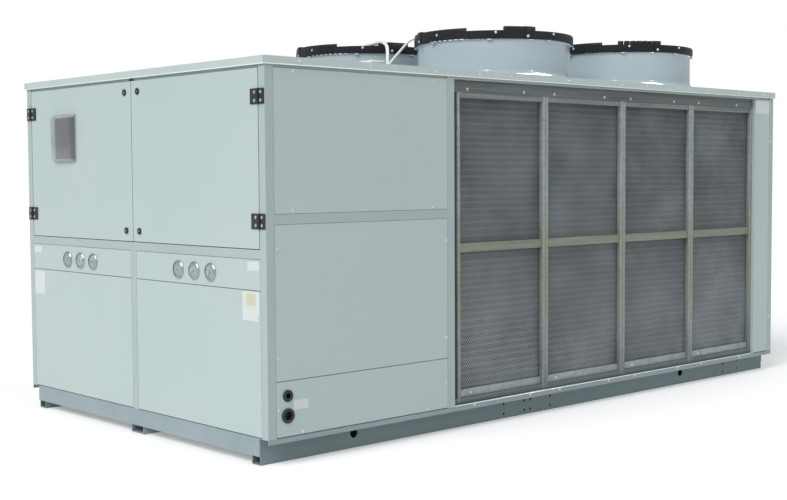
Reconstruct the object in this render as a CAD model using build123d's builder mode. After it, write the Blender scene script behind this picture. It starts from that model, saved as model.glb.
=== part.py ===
from build123d import *
import os
from math import cos, radians, sin, tan

os.makedirs("parts", exist_ok=True)

# Whole cabinet: X across the door end, Y along it with the doors at -Y, Z up
cabinet_width = 2172.0
cabinet_length = 4116.0
roof_top = 1800.0

# Clearances
seat_gap = 0.3
panel_gap = 1.5
door_gap = 5.0

# Welded base of box-section runners and channel end beams
runner_height = 120.0
runner_width = 63.0
runner_wall = 5.0
runner_inset = 67.0
middle_runner_width = 115.0
end_beam_height = 80.0
end_beam_flange = 45.0
end_beam_wall = 6.0
lifting_hole_radius = 23.0
lifting_hole_height = 70.0
lifting_hole_front = 553.0
lifting_hole_spread = 2642.0
deck_thickness = 3.0

# Roll-formed frame
post_size = 45.0
post_wall = 3.0
lip_width = 20.0
lip_thickness = 3.0
centre_post_width = 48.0
side_post_front = 1115.0
side_post_width = 50.0
mid_rail_bottom = 915.0
mid_rail_top = 957.0
side_rail_bottom = 1067.0
side_rail_top = 1112.0
top_rail_bottom = 1752.0
top_rail_setback = 5.0

# Sheet panels, doors and trim
panel_thickness = 22.0
panel_bottom = 127.0
gauge_panel_bottom = 778.0
service_panel_top = 374.0
door_thickness = 17.0
door_skin = 2.0
door_bottom = 958.0
door_top = 1750.0
roof_sheet = 2.5
trim_height = 37.0
trim_overhang = 9.0
trim_sheet = 2.0
trim_hem = 5.0
trim_flange = 60.0
skirt_height = 20.0
end_panel_width = 168.0
skirt_sheet = 3.0
bulkhead_sheet = 3.0

# Control cabinet behind the doors
tub_depth = 380.0
tub_sheet = 2.0
plate_margin = 60.0
plate_standoff = 30.0
plate_thickness = 3.0
stud_radius = 6.0
stud_margin = 90.0

# Door furniture
hinge_height = 68.0
hinge_door_leaf = 56.0
hinge_post_leaf = 42.0
hinge_leaf_thickness = 4.5
knuckle_radius = 6.5
hinge_pin_radius = 3.0
hinge_pin_play = 0.08
knuckle_play = 0.4
hinge_heights = (1082.0, 1626.0)
latch_radius = 16.0
latch_cap = 5.0
latch_shank_radius = 10.0
latch_from_centre = 60.0
latch_heights = (1012.0, 1697.0)
window_left = -787.0
window_width = 238.0
window_bottom = 1360.0
window_height = 251.0
window_depth = 30.0
window_wall = 3.0
window_bevel = 14.0
window_rim = 14.0

# Pressure gauges in the two gauge panels
gauge_spacing = 132.0
gauge_panel_centre = 530.0
gauge_height = 841.0
gauge_flange_radius = 43.5
gauge_case_radius = 32.0
gauge_case_depth = 55.0
gauge_flange_thickness = 9.0
gauge_flange_edge = 3.0

# Rubber cable entries near the front of the service panel
entry_from_front = 109.0
entries = ((308.0, 27.0), (219.0, 34.0))
entry_lip = 7.0
entry_depth = 24.0
entry_rounding = 2.4

# Condenser coils along both long sides
coil_front = 1205.0
coil_bays = 4
coil_mullion = 47.0
coil_end_gap = 3.0
coil_end_bar = 21.0
coil_recess = 20.0
coil_bar_depth = 25.0
coil_shadow = 28.0
coil_thickness = 66.0
coil_top = 1664.0
coil_frame_top = 1692.0
coil_rail_bottom = 892.0
coil_rail_top = 937.0
coil_blank_top = 197.0
coil_sill_top = 157.0
coil_tube_rows = 46
coil_groove = 9.0
coil_groove_depth = 4.0
header_step = 1731.0
header_step_depth = 6.0

# Four axial fans on the roof
fan_pitch_x = 1074.0
fan_pitch_y = 1169.0
fan_row_centre = 2628.0
shroud_radius = 430.0
shroud_wall = 3.0
shroud_height = 212.0
shroud_flare = 46.0
shroud_foot = 10.0
shroud_lip = 10.0
guard_radius = 448.0
guard_band_wall = 8.0
guard_band_height = 41.0
guard_spokes = 8
guard_spoke_width = 9.0
guard_wire = 6.0
guard_arm_angle = -23.0
guard_arm_width = 46.0
guard_arm_height = 22.0
guard_hub_radius = 96.0
motor_radius = 78.0
motor_bottom = 170.0
rotor_hub_radius = 104.0
rotor_hub_height = 105.0
rotor_dome = 22.0
rotor_tip_gap = 6.0
rotor_blades = 6
blade_thickness = 6.0
blade_root_chord = 165.0
blade_tip_chord = 235.0
blade_root_pitch = 42.0
blade_tip_pitch = 24.0
blade_root_share = 0.92
blade_tip_excess = 4.0

# Junction box and fan leads on the roof
cable_box_x = (-60.0, 40.0)
cable_box_from_front = (1553.0, 1666.0)
cable_box_top = 1938.0
cable_box_fillet = 14.0
thin_lead_radius = 7.0
thick_lead_radius = 10.0
lead_bend = 90.0
lead_rise = 3.0
lead_middle_share = 0.6
thin_lead_reach = 22.0
thick_lead_reach = 12.0

# Places worked out from the sizes above
half_width = cabinet_width / 2
half_length = cabinet_length / 2
front = -half_length
deck_top = runner_height + deck_thickness
roof_sheet_top = roof_top - trim_sheet - seat_gap
roof_sheet_bottom = roof_sheet_top - roof_sheet
post_top = roof_sheet_bottom - seat_gap
trim_bottom = roof_top - trim_height
runner_x = half_width - runner_inset
runner_front = front + end_beam_wall
side_post_rear = side_post_front + side_post_width
lip_depth = panel_thickness + seat_gap
frame_inner = half_width - post_size


def block(x, y, z, mode=Mode.ADD):
    """A plain block between its low and high limits on each axis."""
    middle = ((x[0] + x[1]) / 2, (y[0] + y[1]) / 2, (z[0] + z[1]) / 2)
    with Locations(middle):
        return Box(x[1] - x[0], y[1] - y[0], z[1] - z[0], mode=mode)


def save(part, label):
    part.label = label
    export_step(part, f"parts/{label}.step")


def ordered(a, b):
    return (min(a, b), max(a, b))


# Base: three box-section runners on the ground, their front ends against the end beam
with BuildPart() as side_runners:
    for side in (1, -1):
        outer = side * runner_x
        inner = side * (runner_x - runner_width)
        block(ordered(outer, inner), (runner_front, -runner_front), (0, runner_height))
        hollow_x = ordered(outer - side * runner_wall, inner + side * runner_wall)
        block(hollow_x, (front, -front), (runner_wall, runner_height - runner_wall), Mode.SUBTRACT)
    first_hole = front + lifting_hole_front
    for y in (first_hole, first_hole + lifting_hole_spread):
        with BuildSketch(Plane.YZ.offset(-half_width)):
            with Locations((y, lifting_hole_height)):
                Circle(lifting_hole_radius)
        extrude(amount=cabinet_width, mode=Mode.SUBTRACT)
save(side_runners.part, "base_side_runners")

with BuildPart() as middle_runner:
    half = middle_runner_width / 2
    block((-half, half), (runner_front, -runner_front), (0, runner_height))
    block((runner_wall - half, half - runner_wall), (front, -front),
          (runner_wall, runner_height - runner_wall), Mode.SUBTRACT)
save(middle_runner.part, "base_middle_runner")

beam_bottom = runner_height - end_beam_height
with BuildPart() as end_beams:
    for end in (1, -1):
        web_y = ordered(end * half_length, end * (half_length - end_beam_wall))
        block((-runner_x, runner_x), web_y, (beam_bottom, runner_height))
        flange_y = ordered(end * (half_length - end_beam_wall), end * (half_length - end_beam_flange))
        for side in (1, -1):
            near = side * (middle_runner_width / 2 + seat_gap)
            far = side * (runner_x - runner_width - seat_gap)
            for z in (beam_bottom, runner_height - end_beam_wall):
                block(ordered(near, far), flange_y, (z, z + end_beam_wall))
save(end_beams.part, "base_end_beams")

with BuildPart() as base_deck:
    block((-half_width, half_width), (front, -front), (runner_height, deck_top))
save(base_deck.part, "base_deck")

# Frame posts: square tubes with lips that the sheet panels seat on
post_bottom = deck_top
lip_top = top_rail_bottom - seat_gap


def corner_posts(end):
    """Both posts of one end: square tubes with a lip along each face for the panels beside them."""
    with BuildPart() as posts:
        for side in (1, -1):
            near_x, near_y = side * half_width, end * half_length
            inner_x, inner_y = side * frame_inner, end * (half_length - post_size)
            block(ordered(near_x, inner_x), ordered(near_y, inner_y), (post_bottom, post_top))
            bore_x = ordered(near_x - side * post_wall, inner_x + side * post_wall)
            bore_y = ordered(near_y - end * post_wall, inner_y + end * post_wall)
            block(bore_x, bore_y, (post_bottom, post_top), Mode.SUBTRACT)
            end_lip_y = ordered(near_y - end * lip_depth, near_y - end * (lip_depth + lip_thickness))
            block(ordered(inner_x, inner_x - side * lip_width), end_lip_y, (post_bottom, lip_top))
            side_lip_x = ordered(near_x - side * lip_depth, near_x - side * (lip_depth + lip_thickness))
            block(side_lip_x, ordered(inner_y, inner_y - end * lip_width), (post_bottom, lip_top))
    return posts.part


save(corner_posts(-1), "front_corner_posts")
save(corner_posts(1), "rear_corner_posts")

side_post_y = (front + side_post_front, front + side_post_rear)
with BuildPart() as side_posts:
    for side in (1, -1):
        post_x = ordered(side * half_width, side * frame_inner)
        block(post_x, side_post_y, (post_bottom, post_top))
        bore_x = ordered(side * (half_width - post_wall), side * (frame_inner + post_wall))
        bore_y = (side_post_y[0] + post_wall, side_post_y[1] - post_wall)
        block(bore_x, bore_y, (post_bottom, post_top), Mode.SUBTRACT)
        lip_x = ordered(side * (half_width - lip_depth), side * (half_width - lip_depth - lip_thickness))
        block(lip_x, (side_post_y[0] - lip_width, side_post_y[0]), (post_bottom, lip_top))
save(side_posts.part, "side_posts")


def centre_post(end, split_bottom, split_top):
    """Centre post of one end: flush below the mid rail, set back behind the doors above it."""
    half = centre_post_width / 2
    face = end * half_length
    inner = end * (half_length - post_size)
    lip = ordered(end * (half_length - lip_depth), end * (half_length - lip_depth - lip_thickness))
    with BuildPart() as post:
        block((-half, half), ordered(face, inner), (post_bottom, split_bottom))
        block((-half - lip_width, half + lip_width), lip, (post_bottom, split_bottom))
        if end < 0:
            set_back = end * (half_length - lip_depth)
            block((-half, half), ordered(set_back, inner), (split_top, post_top))
        else:
            block((-half, half), ordered(face, inner), (split_top, post_top))
            block((-half - lip_width, half + lip_width), lip, (split_top, lip_top))
    return post.part


save(centre_post(-1, mid_rail_bottom, mid_rail_top), "front_centre_post")
save(centre_post(1, mid_rail_bottom, mid_rail_top), "rear_centre_post")


def end_rail(end):
    """Middle rail across one end, with lips above and below that the panels or doors close on."""
    reach = frame_inner - seat_gap
    lip_reach = frame_inner - lip_width - seat_gap
    lip_y = ordered(end * (half_length - lip_depth), end * (half_length - lip_depth - lip_thickness))
    with BuildPart() as rail:
        block((-reach, reach), ordered(end * half_length, end * (half_length - lip_depth)),
              (mid_rail_bottom + seat_gap, mid_rail_top - seat_gap))
        behind_y = ordered(end * (half_length - lip_depth), end * (half_length - post_size))
        block((-lip_reach, lip_reach), behind_y, (mid_rail_bottom + seat_gap, mid_rail_top - seat_gap))
        near = centre_post_width / 2 + lip_width + seat_gap
        for side in (1, -1):
            block(ordered(side * near, side * lip_reach), lip_y,
                  (mid_rail_bottom - lip_width, mid_rail_top + lip_width))
    return rail.part


save(end_rail(-1), "front_mid_rail")
save(end_rail(1), "rear_mid_rail")

panel_run = (front + post_size, front + side_post_front)
with BuildPart() as side_mid_rails:
    for side in (1, -1):
        outer_x = ordered(side * half_width, side * (half_width - lip_depth))
        rail_run = (panel_run[0] + seat_gap, panel_run[1] - seat_gap)
        block(outer_x, rail_run, (side_rail_bottom, side_rail_top))
        inner_x = ordered(side * (half_width - lip_depth), side * frame_inner)
        lip_run = (panel_run[0] + lip_width + seat_gap, panel_run[1] - lip_width - seat_gap)
        block(inner_x, lip_run, (side_rail_bottom, side_rail_top))
        lip_x = ordered(side * (half_width - lip_depth), side * (half_width - lip_depth - lip_thickness))
        block(lip_x, lip_run, (side_rail_bottom - lip_width, side_rail_top + lip_width))
save(side_mid_rails.part, "side_mid_rails")

rail_depth = post_size - top_rail_setback
with BuildPart() as top_rails:
    for side in (1, -1):
        across = ordered(side * (half_width - top_rail_setback), side * frame_inner)
        for run in ((front + post_size, side_post_y[0]), (side_post_y[1], half_length - post_size)):
            block(across, (run[0] + seat_gap, run[1] - seat_gap), (top_rail_bottom, post_top))
    for end in (1, -1):
        deep = ordered(end * (half_length - top_rail_setback), end * (half_length - post_size))
        for side in (1, -1):
            across = ordered(side * (centre_post_width / 2 + seat_gap), side * (frame_inner - seat_gap))
            block(across, deep, (top_rail_bottom, post_top))
save(top_rails.part, "top_rails")


# Sheet panels that close the spaces between the posts
def end_panels(end, spans, holes=()):
    """Panels left and right of the centre post of one end; holes are (x, z, radius)."""
    near = centre_post_width / 2 + panel_gap
    far = frame_inner - panel_gap
    deep = ordered(end * half_length, end * (half_length - panel_thickness))
    with BuildPart() as panels:
        for side in (1, -1):
            for z in spans:
                block(ordered(side * near, side * far), deep, z)
        for x, z, radius in holes:
            with BuildSketch(Plane.XZ.offset(-end * half_length)):
                with Locations((x, z)):
                    Circle(radius)
            extrude(amount=end * panel_thickness, mode=Mode.SUBTRACT)
    return panels.part


def side_panels(z, run, holes=()):
    """The same panel on both long sides; holes are (y, z, radius) and on the right side only."""
    with BuildPart() as panels:
        for side in (1, -1):
            block(ordered(side * half_width, side * (half_width - panel_thickness)), run, z)
        for y, height, radius in holes:
            with BuildSketch(Plane.YZ.offset(half_width)):
                with Locations((y, height)):
                    Circle(radius)
            extrude(amount=-panel_thickness, mode=Mode.SUBTRACT)
    return panels.part


gauge_x = [side * gauge_panel_centre + step * gauge_spacing for side in (-1, 1) for step in (-1, 0, 1)]
gauge_holes = [(x, gauge_height, gauge_case_radius + seat_gap) for x in gauge_x]
gauge_span = (gauge_panel_bottom, mid_rail_bottom - panel_gap)
lower_span = (panel_bottom, gauge_panel_bottom - 2 * panel_gap)
rear_spans = [(panel_bottom, mid_rail_bottom - panel_gap)]
rear_spans += [(mid_rail_top + panel_gap, top_rail_bottom - panel_gap)]
save(end_panels(-1, [gauge_span], gauge_holes), "gauge_panels")
save(end_panels(-1, [lower_span]), "lower_front_panels")
save(end_panels(1, rear_spans), "rear_panels")

entry_y = front + entry_from_front
entry_holes = [(entry_y, height, radius - entry_lip) for height, radius in entries]
panel_y = (panel_run[0] + panel_gap, panel_run[1] - panel_gap)
upper_span = (side_rail_top + panel_gap, top_rail_bottom - panel_gap)
middle_span = (service_panel_top + panel_gap, side_rail_bottom - panel_gap)
save(side_panels(upper_span, panel_y), "side_panels_upper")
save(side_panels(middle_span, panel_y), "side_panels_lower")
save(side_panels((panel_bottom, service_panel_top - panel_gap), panel_y, entry_holes), "service_panels")

# Blank panels beside the coils at the rear end of the long sides
end_panel_front = half_length - post_size - end_panel_width
end_panel_y = (end_panel_front, half_length - post_size - panel_gap)
save(side_panels((panel_bottom, top_rail_bottom - panel_gap), end_panel_y), "coil_end_panels")

# Rubber cable entries: a collar through the panel with a rounded outer lip and a closed membrane
with BuildPart() as cable_entries:
    for height, radius in entries:
        with BuildSketch(Plane.YZ.offset(half_width)):
            with Locations((entry_y, height)):
                Circle(radius)
        extrude(amount=entry_lip)
        with BuildSketch(Plane.YZ.offset(half_width)):
            with Locations((entry_y, height)):
                Circle(radius - entry_lip - seat_gap)
        extrude(amount=-entry_depth)
        with BuildSketch(Plane.YZ.offset(half_width + entry_lip)):
            with Locations((entry_y, height)):
                Circle(radius - 2 * entry_lip)
        extrude(amount=-entry_depth, mode=Mode.SUBTRACT)
    rims = cable_entries.edges().filter_by(GeomType.CIRCLE).group_by(Axis.X)[-1]
    fillet(rims, entry_rounding)
save(cable_entries.part, "cable_entries")

# Skirt strips below both long sides
with BuildPart() as skirts:
    for side in (1, -1):
        across = ordered(side * half_width, side * (half_width - skirt_sheet))
        block(across, (front, half_length), (runner_height - skirt_height, runner_height - seat_gap))
save(skirts.part, "skirts")

# Condenser coil openings: mullions, rails, header and sill
coil_y0 = front + coil_front
coil_y1 = end_panel_front - coil_end_gap
coil_run = coil_y1 - coil_y0
coil_bay = (coil_run - 2 * coil_end_bar - (coil_bays - 1) * coil_mullion) / coil_bays
bay_fronts = [coil_y0 + coil_end_bar + n * (coil_bay + coil_mullion) for n in range(coil_bays)]


def coil_frame(side):
    """Upright bars from sill to header with short rails between them, all separate strips."""
    bar_x = ordered(side * (half_width - coil_recess), side * (half_width - coil_recess - coil_bar_depth))
    uprights = [(coil_y0, coil_y0 + coil_end_bar), (coil_y1 - coil_end_bar, coil_y1)]
    uprights += [(y - coil_mullion, y) for y in bay_fronts[1:]]
    rail_heights = ((coil_sill_top + seat_gap, coil_blank_top), (coil_rail_bottom, coil_rail_top),
                    (coil_top, coil_frame_top))
    with BuildPart() as frame:
        for run in uprights:
            block(bar_x, run, (coil_sill_top + seat_gap, coil_frame_top))
        for y in bay_fronts:
            for z in rail_heights:
                block(bar_x, (y + seat_gap, y + coil_bay - seat_gap), z)
    return frame.part


def finned_coil(side):
    """Fin pack with a shallow groove between the tube rows."""
    face = half_width - coil_recess - coil_bar_depth - coil_shadow
    back = face - coil_thickness
    bottom = coil_sill_top
    pitch = (coil_frame_top - bottom) / coil_tube_rows
    land = pitch - coil_groove
    points = [(back, bottom)]
    for n in range(coil_tube_rows):
        z = bottom + n * pitch
        points += [(face, z), (face, z + land), (face - coil_groove_depth, z + land)]
        points += [(face - coil_groove_depth, z + pitch)]
    points += [(back, coil_frame_top)]
    with BuildPart() as coil:
        with BuildSketch(Plane.XZ.offset(-coil_y1)):
            Polygon(*[(side * x, z) for x, z in points])
        extrude(amount=coil_run)
    return coil.part


for side, word in ((1, "right"), (-1, "left")):
    save(coil_frame(side), f"coil_frame_{word}")
    save(finned_coil(side), f"condenser_coil_{word}")

coil_room = (side_post_y[1] + seat_gap, end_panel_front - seat_gap)
with BuildPart() as coil_headers:
    for side in (1, -1):
        outer = half_width - coil_recess
        inner = outer - coil_bar_depth - coil_shadow
        low, high = coil_frame_top + seat_gap, top_rail_bottom - seat_gap
        points = [(outer, low), (outer, header_step), (outer - header_step_depth, header_step)]
        points += [(outer - header_step_depth, high), (inner, high), (inner, low)]
        with BuildSketch(Plane.XZ.offset(-coil_room[1])):
            Polygon(*[(side * x, z) for x, z in points])
        extrude(amount=coil_room[1] - coil_room[0])
save(coil_headers.part, "coil_header_rails")

# Coil sills with a flat toe out to the face of the cabinet
with BuildPart() as coil_sills:
    for side in (1, -1):
        outer = half_width - coil_recess
        inner = outer - coil_bar_depth - coil_shadow - coil_thickness
        block(ordered(side * outer, side * inner), coil_room, (deck_top, coil_sill_top))
        block(ordered(side * outer, side * half_width), coil_room, (deck_top, panel_bottom))
save(coil_sills.part, "coil_sills")

with BuildPart() as bulkhead:
    reach = frame_inner - seat_gap
    block((-reach, reach), (side_post_y[1] - bulkhead_sheet, side_post_y[1]), (deck_top, post_top))
save(bulkhead.part, "plenum_bulkhead")

# Roof: a plain sheet over the machine room and four fan decks behind it
fan_y = [front + fan_row_centre + step * fan_pitch_y / 2 for step in (-1, 1)]
fan_x = [step * fan_pitch_x / 2 for step in (-1, 1)]
deck_front = side_post_y[1]
roof_z = (roof_sheet_bottom, roof_sheet_top)
with BuildPart() as machine_roof:
    block((-half_width, half_width), (front, deck_front - seat_gap), roof_z)
save(machine_roof.part, "machine_room_roof")

deck_split = sum(fan_y) / 2
deck_runs = ((deck_front, deck_split - seat_gap), (deck_split, half_length))
with BuildPart() as fan_decks:
    for x in fan_x:
        side = 1 if x > 0 else -1
        for y, run in zip(fan_y, deck_runs):
            block(ordered(side * seat_gap, side * half_width), run, roof_z)
            with BuildSketch(Plane.XY.offset(roof_sheet_bottom)):
                with Locations((x, y)):
                    Circle(shroud_radius)
            extrude(amount=roof_sheet, mode=Mode.SUBTRACT)
save(fan_decks.part, "fan_decks")

# Folded trim round the roof edge with a rolled hem at its foot
with BuildPart() as roof_trim:
    outer = trim_overhang
    points = [(outer, roof_top), (outer, trim_bottom), (outer - trim_hem, trim_bottom)]
    points += [(outer - trim_hem, trim_bottom + trim_hem), (outer - trim_sheet, trim_bottom + trim_hem)]
    points += [(outer - trim_sheet, roof_top - trim_sheet), (-trim_flange, roof_top - trim_sheet)]
    points += [(-trim_flange, roof_top)]
    for side in (1, -1):
        with BuildSketch(Plane.XZ.offset(half_length + trim_overhang)):
            Polygon(*[(side * (half_width + x), z) for x, z in points])
        extrude(amount=-(cabinet_length + 2 * trim_overhang))
    reach = half_width - trim_flange - seat_gap
    fold_reach = half_width + trim_overhang - trim_hem - seat_gap
    for end in (1, -1):
        with BuildSketch(Plane.YZ.offset(-reach)):
            Polygon(*[(end * (half_length + y), z) for y, z in points])
        extrude(amount=2 * reach)
        for side in (1, -1):
            across = ordered(side * reach, side * fold_reach)
            skin = ordered(end * (half_length + outer - trim_sheet), end * (half_length + outer))
            block(across, skin, (trim_bottom, roof_top - trim_sheet - seat_gap))
save(roof_trim.part, "roof_trim")

# Fans: flared shroud, guard that carries the motor, and bladed rotor
shroud_foot_z = roof_sheet_top + seat_gap
shroud_top = shroud_foot_z + shroud_height
guard_base = shroud_top + seat_gap
guard_top = guard_base + guard_band_height
rotor_top = guard_top - motor_bottom + rotor_hub_height - seat_gap


fan_axis = Plane(origin=(0, 0, 0), x_dir=(1, 0, 0), z_dir=(0, -1, 0))

# Shroud turned about the fan axis: flat foot, flare, straight wall and a small top lip
with BuildPart() as fan_shroud:
    with BuildSketch(fan_axis):
        with BuildLine():
            flare_x = shroud_radius + shroud_flare
            foot_x = flare_x + shroud_foot
            inner_x = shroud_radius - shroud_wall
            lip_x = shroud_radius + shroud_lip
            foot_top = shroud_foot_z + shroud_wall
            flare_z = foot_top + shroud_flare
            Polyline((flare_x, foot_top), (foot_x, foot_top), (foot_x, shroud_foot_z),
                     (flare_x, shroud_foot_z))
            RadiusArc((flare_x, shroud_foot_z), (inner_x, flare_z), shroud_flare + shroud_wall)
            Polyline((inner_x, flare_z), (inner_x, shroud_top), (lip_x, shroud_top),
                     (lip_x, shroud_top - shroud_wall), (shroud_radius, shroud_top - shroud_wall),
                     (shroud_radius, flare_z))
            RadiusArc((shroud_radius, flare_z), (flare_x, foot_top), -shroud_flare)
        make_face()
    revolve(axis=Axis.Z)

# Guard: band on the shroud, flat spokes, four raised arms and the motor under the hub plate
with BuildPart() as fan_guard:
    with BuildSketch(Plane.XY.offset(guard_base)):
        Circle(guard_radius)
        Circle(guard_radius - guard_band_wall, mode=Mode.SUBTRACT)
    extrude(amount=guard_band_height)
    spoke = guard_radius - guard_band_wall
    with BuildSketch(Plane.XY.offset(guard_top - guard_wire)):
        with PolarLocations(spoke / 2, guard_spokes, start_angle=guard_arm_angle):
            Rectangle(spoke, guard_spoke_width)
    extrude(amount=guard_wire)
    with BuildSketch(Plane.XY.offset(guard_top)):
        with PolarLocations(guard_radius / 2, 4, start_angle=guard_arm_angle):
            Rectangle(guard_radius, guard_arm_width)
        Circle(guard_hub_radius)
    extrude(amount=guard_arm_height)
    with BuildSketch(Plane.XY.offset(guard_top)):
        Circle(motor_radius)
    extrude(amount=rotor_top + seat_gap - guard_top)

# Rotor: outer-rotor hub with a domed underside and twisted blades trimmed to the shroud's bore
with BuildPart() as fan_rotor:
    rotor_bottom = rotor_top - rotor_hub_height
    rotor_middle = rotor_top - rotor_hub_height / 2
    blade_tip = shroud_radius - shroud_wall - rotor_tip_gap
    with BuildSketch(fan_axis):
        with BuildLine():
            dome_x = rotor_hub_radius - rotor_dome
            dome_z = rotor_bottom + rotor_dome
            Polyline((0, rotor_top), (rotor_hub_radius, rotor_top), (rotor_hub_radius, dome_z))
            RadiusArc((rotor_hub_radius, dome_z), (dome_x, rotor_bottom), rotor_dome)
            Polyline((dome_x, rotor_bottom), (0, rotor_bottom), (0, rotor_top))
        make_face()
    revolve(axis=Axis.Z)
    for number in range(rotor_blades):
        angle = radians(guard_arm_angle + number * 360 / rotor_blades)
        out = Vector(cos(angle), sin(angle), 0)
        along = Vector(-sin(angle), cos(angle), 0)
        stations = ((rotor_hub_radius * blade_root_share, blade_root_chord, radians(blade_root_pitch)),
                    (blade_tip + blade_tip_excess, blade_tip_chord, radians(blade_tip_pitch)))
        for reach, chord, pitch in stations:
            slope = along * cos(pitch) + Vector(0, 0, sin(pitch))
            root = Vector(0, 0, rotor_middle) + out * reach
            with BuildSketch(Plane(origin=root, x_dir=slope, z_dir=out)):
                Rectangle(chord, blade_thickness)
        loft(ruled=True)
    with BuildSketch(Plane.XY.offset(rotor_bottom)):
        Circle(blade_tip)
    extrude(amount=2 * rotor_hub_height, both=True, mode=Mode.INTERSECT)

for number, (x, y) in enumerate([(x, y) for y in fan_y for x in reversed(fan_x)], start=1):
    spot = Location((x, y, 0))
    save(fan_shroud.part.moved(spot), f"fan_shroud_{number}")
    save(fan_guard.part.moved(spot), f"fan_guard_{number}")
    save(fan_rotor.part.moved(spot), f"fan_rotor_{number}")

# Junction box on the roof and the two fan leads that run into it
with BuildPart() as cable_box:
    cable_box_y = (front + cable_box_from_front[0], front + cable_box_from_front[1])
    block(cable_box_x, cable_box_y, (roof_sheet_top + seat_gap, cable_box_top))
    fillet(cable_box.edges().filter_by(Axis.Z), cable_box_fillet)
    fillet(cable_box.faces().sort_by(Axis.Z)[-1].edges(), cable_box_fillet / 2)
save(cable_box.part, "cable_box")


def around(fan, reach, degrees, z):
    """A point at a reach and bearing from one fan's axis."""
    angle = radians(degrees)
    return (fan[0] + reach * cos(angle), fan[1] + reach * sin(angle), z)


right_fan = (fan_x[1], fan_y[0])
left_fan = (fan_x[0], fan_y[0])
thin_z = guard_top + thin_lead_radius + seat_gap
thick_z = guard_top + thick_lead_radius + seat_gap
hub_start = guard_hub_radius + seat_gap
lead_middle = guard_radius * lead_middle_share
thin_route = [
    around(right_fan, hub_start, -137, thin_z),
    around(right_fan, lead_middle, -137, thin_z + lead_rise),
    around(right_fan, guard_radius + thin_lead_reach, -140, thin_z + 2 * lead_rise),
    (104, front + 1638, 1919), (90, front + 1618, 1858),
    (cable_box_x[1] + seat_gap, front + 1618, 1858),
]
thick_route = [
    around(left_fan, hub_start, -46, thick_z),
    around(left_fan, lead_middle, -46, thick_z + lead_rise),
    around(left_fan, guard_radius + thick_lead_reach, -31, thick_z + 4 * lead_rise),
    (-80, front + 1790, 2048), (-52, front + 1768, 1990), (-34, front + 1750, 1930),
    (-10, front + 1712, 1886), (-10, cable_box_y[1] + seat_gap, 1886),
]


def lead(route, radius):
    """Round lead along straight runs joined by arcs, tighter where a run is too short."""
    points = [Vector(*spot) for spot in route]
    bends = []
    for before, here, after in zip(points, points[1:], points[2:]):
        half_turn = radians((here - before).get_angle(after - here)) / 2
        shorter = min((here - before).length, (after - here).length)
        bends.append(min(lead_bend, 0.45 * shorter / tan(half_turn)))
    with BuildPart() as tube:
        with BuildLine() as path:
            FilletPolyline(*points, radius=bends)
        with BuildSketch(Plane(origin=path.line @ 0, z_dir=path.line % 0)):
            Circle(radius)
        sweep()
    return tube.part


save(lead(thin_route, thin_lead_radius), "fan_lead_right")
save(lead(thick_route, thick_lead_radius), "fan_lead_left")

# Control cabinet behind the doors: a tray open to the front with a plate on stand-offs inside
tub_front = front + post_size + seat_gap
tub_back = tub_front + tub_depth
tub_x = (-frame_inner + seat_gap + lip_width, frame_inner - seat_gap - lip_width)
tub_z = (mid_rail_top + lip_width + seat_gap, top_rail_bottom - seat_gap)
with BuildPart() as control_tub:
    block(tub_x, (tub_front, tub_back), tub_z)
    mouth = control_tub.faces().sort_by(Axis.Y)[0]
    offset(amount=-tub_sheet, openings=mouth)
save(control_tub.part, "control_cabinet")

plate_back = tub_back - tub_sheet - plate_standoff
with BuildPart() as mounting_plate:
    block((tub_x[0] + plate_margin, tub_x[1] - plate_margin), (plate_back - plate_thickness, plate_back),
          (tub_z[0] + plate_margin, tub_z[1] - plate_margin))
    stud_x = tub_x[1] - stud_margin
    stud_z = (tub_z[1] - tub_z[0]) / 2 - stud_margin
    with BuildSketch(Plane.XZ.offset(-plate_back)):
        with Locations((0, (tub_z[0] + tub_z[1]) / 2)):
            with GridLocations(2 * stud_x, 2 * stud_z, 2, 2):
                Circle(stud_radius)
    extrude(amount=-(plate_standoff - seat_gap))
save(mounting_plate.part, "mounting_plate")

# Doors: folded trays; the left one has the window opening, both have latch holes
door_inner_edge = door_gap / 2
door_outer_edge = frame_inner - door_gap
window_right = window_left + window_width


def door(side):
    across = ordered(side * door_inner_edge, side * door_outer_edge)
    with BuildPart() as leaf:
        block(across, (front, front + door_thickness), (door_bottom + door_gap / 2, door_top))
        inside = leaf.faces().sort_by(Axis.Y)[-1]
        offset(amount=-door_skin, openings=inside)
        with BuildSketch(Plane.XZ.offset(half_length)):
            with Locations(*[(side * latch_from_centre, z) for z in latch_heights]):
                Circle(latch_shank_radius + seat_gap)
            if side < 0:
                centre = ((window_left + window_right) / 2, window_bottom + window_height / 2)
                with Locations(centre):
                    Rectangle(window_width - 2 * window_rim, window_height - 2 * window_rim)
        extrude(amount=-door_skin, mode=Mode.SUBTRACT)
    return leaf.part


save(door(-1), "door_left")
save(door(1), "door_right")

with BuildPart() as window:
    centre = ((window_left + window_right) / 2, window_bottom + window_height / 2)
    for grow, wall in ((0, Mode.ADD), (-window_wall, Mode.SUBTRACT)):
        with BuildSketch(Plane.XZ.offset(half_length)):
            with Locations(centre):
                RectangleRounded(window_width + 2 * grow, window_height + 2 * grow, window_bevel + grow)
        with BuildSketch(Plane.XZ.offset(half_length + window_depth + grow)):
            with Locations(centre):
                shrink = 2 * grow - 2 * window_bevel
                RectangleRounded(window_width + shrink, window_height + shrink, window_bevel / 2)
        loft(mode=wall)
save(window.part, "inspection_window")


def latches(side):
    with BuildPart() as pair:
        for z in latch_heights:
            with BuildSketch(Plane.XZ.offset(half_length)):
                with Locations((side * latch_from_centre, z)):
                    Circle(latch_radius)
            extrude(amount=latch_cap)
            with BuildSketch(Plane.XZ.offset(half_length)):
                with Locations((side * latch_from_centre, z)):
                    Circle(latch_shank_radius)
            extrude(amount=-(door_thickness - door_skin))
    return pair.part


save(latches(-1), "latches_left")
save(latches(1), "latches_right")

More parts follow.
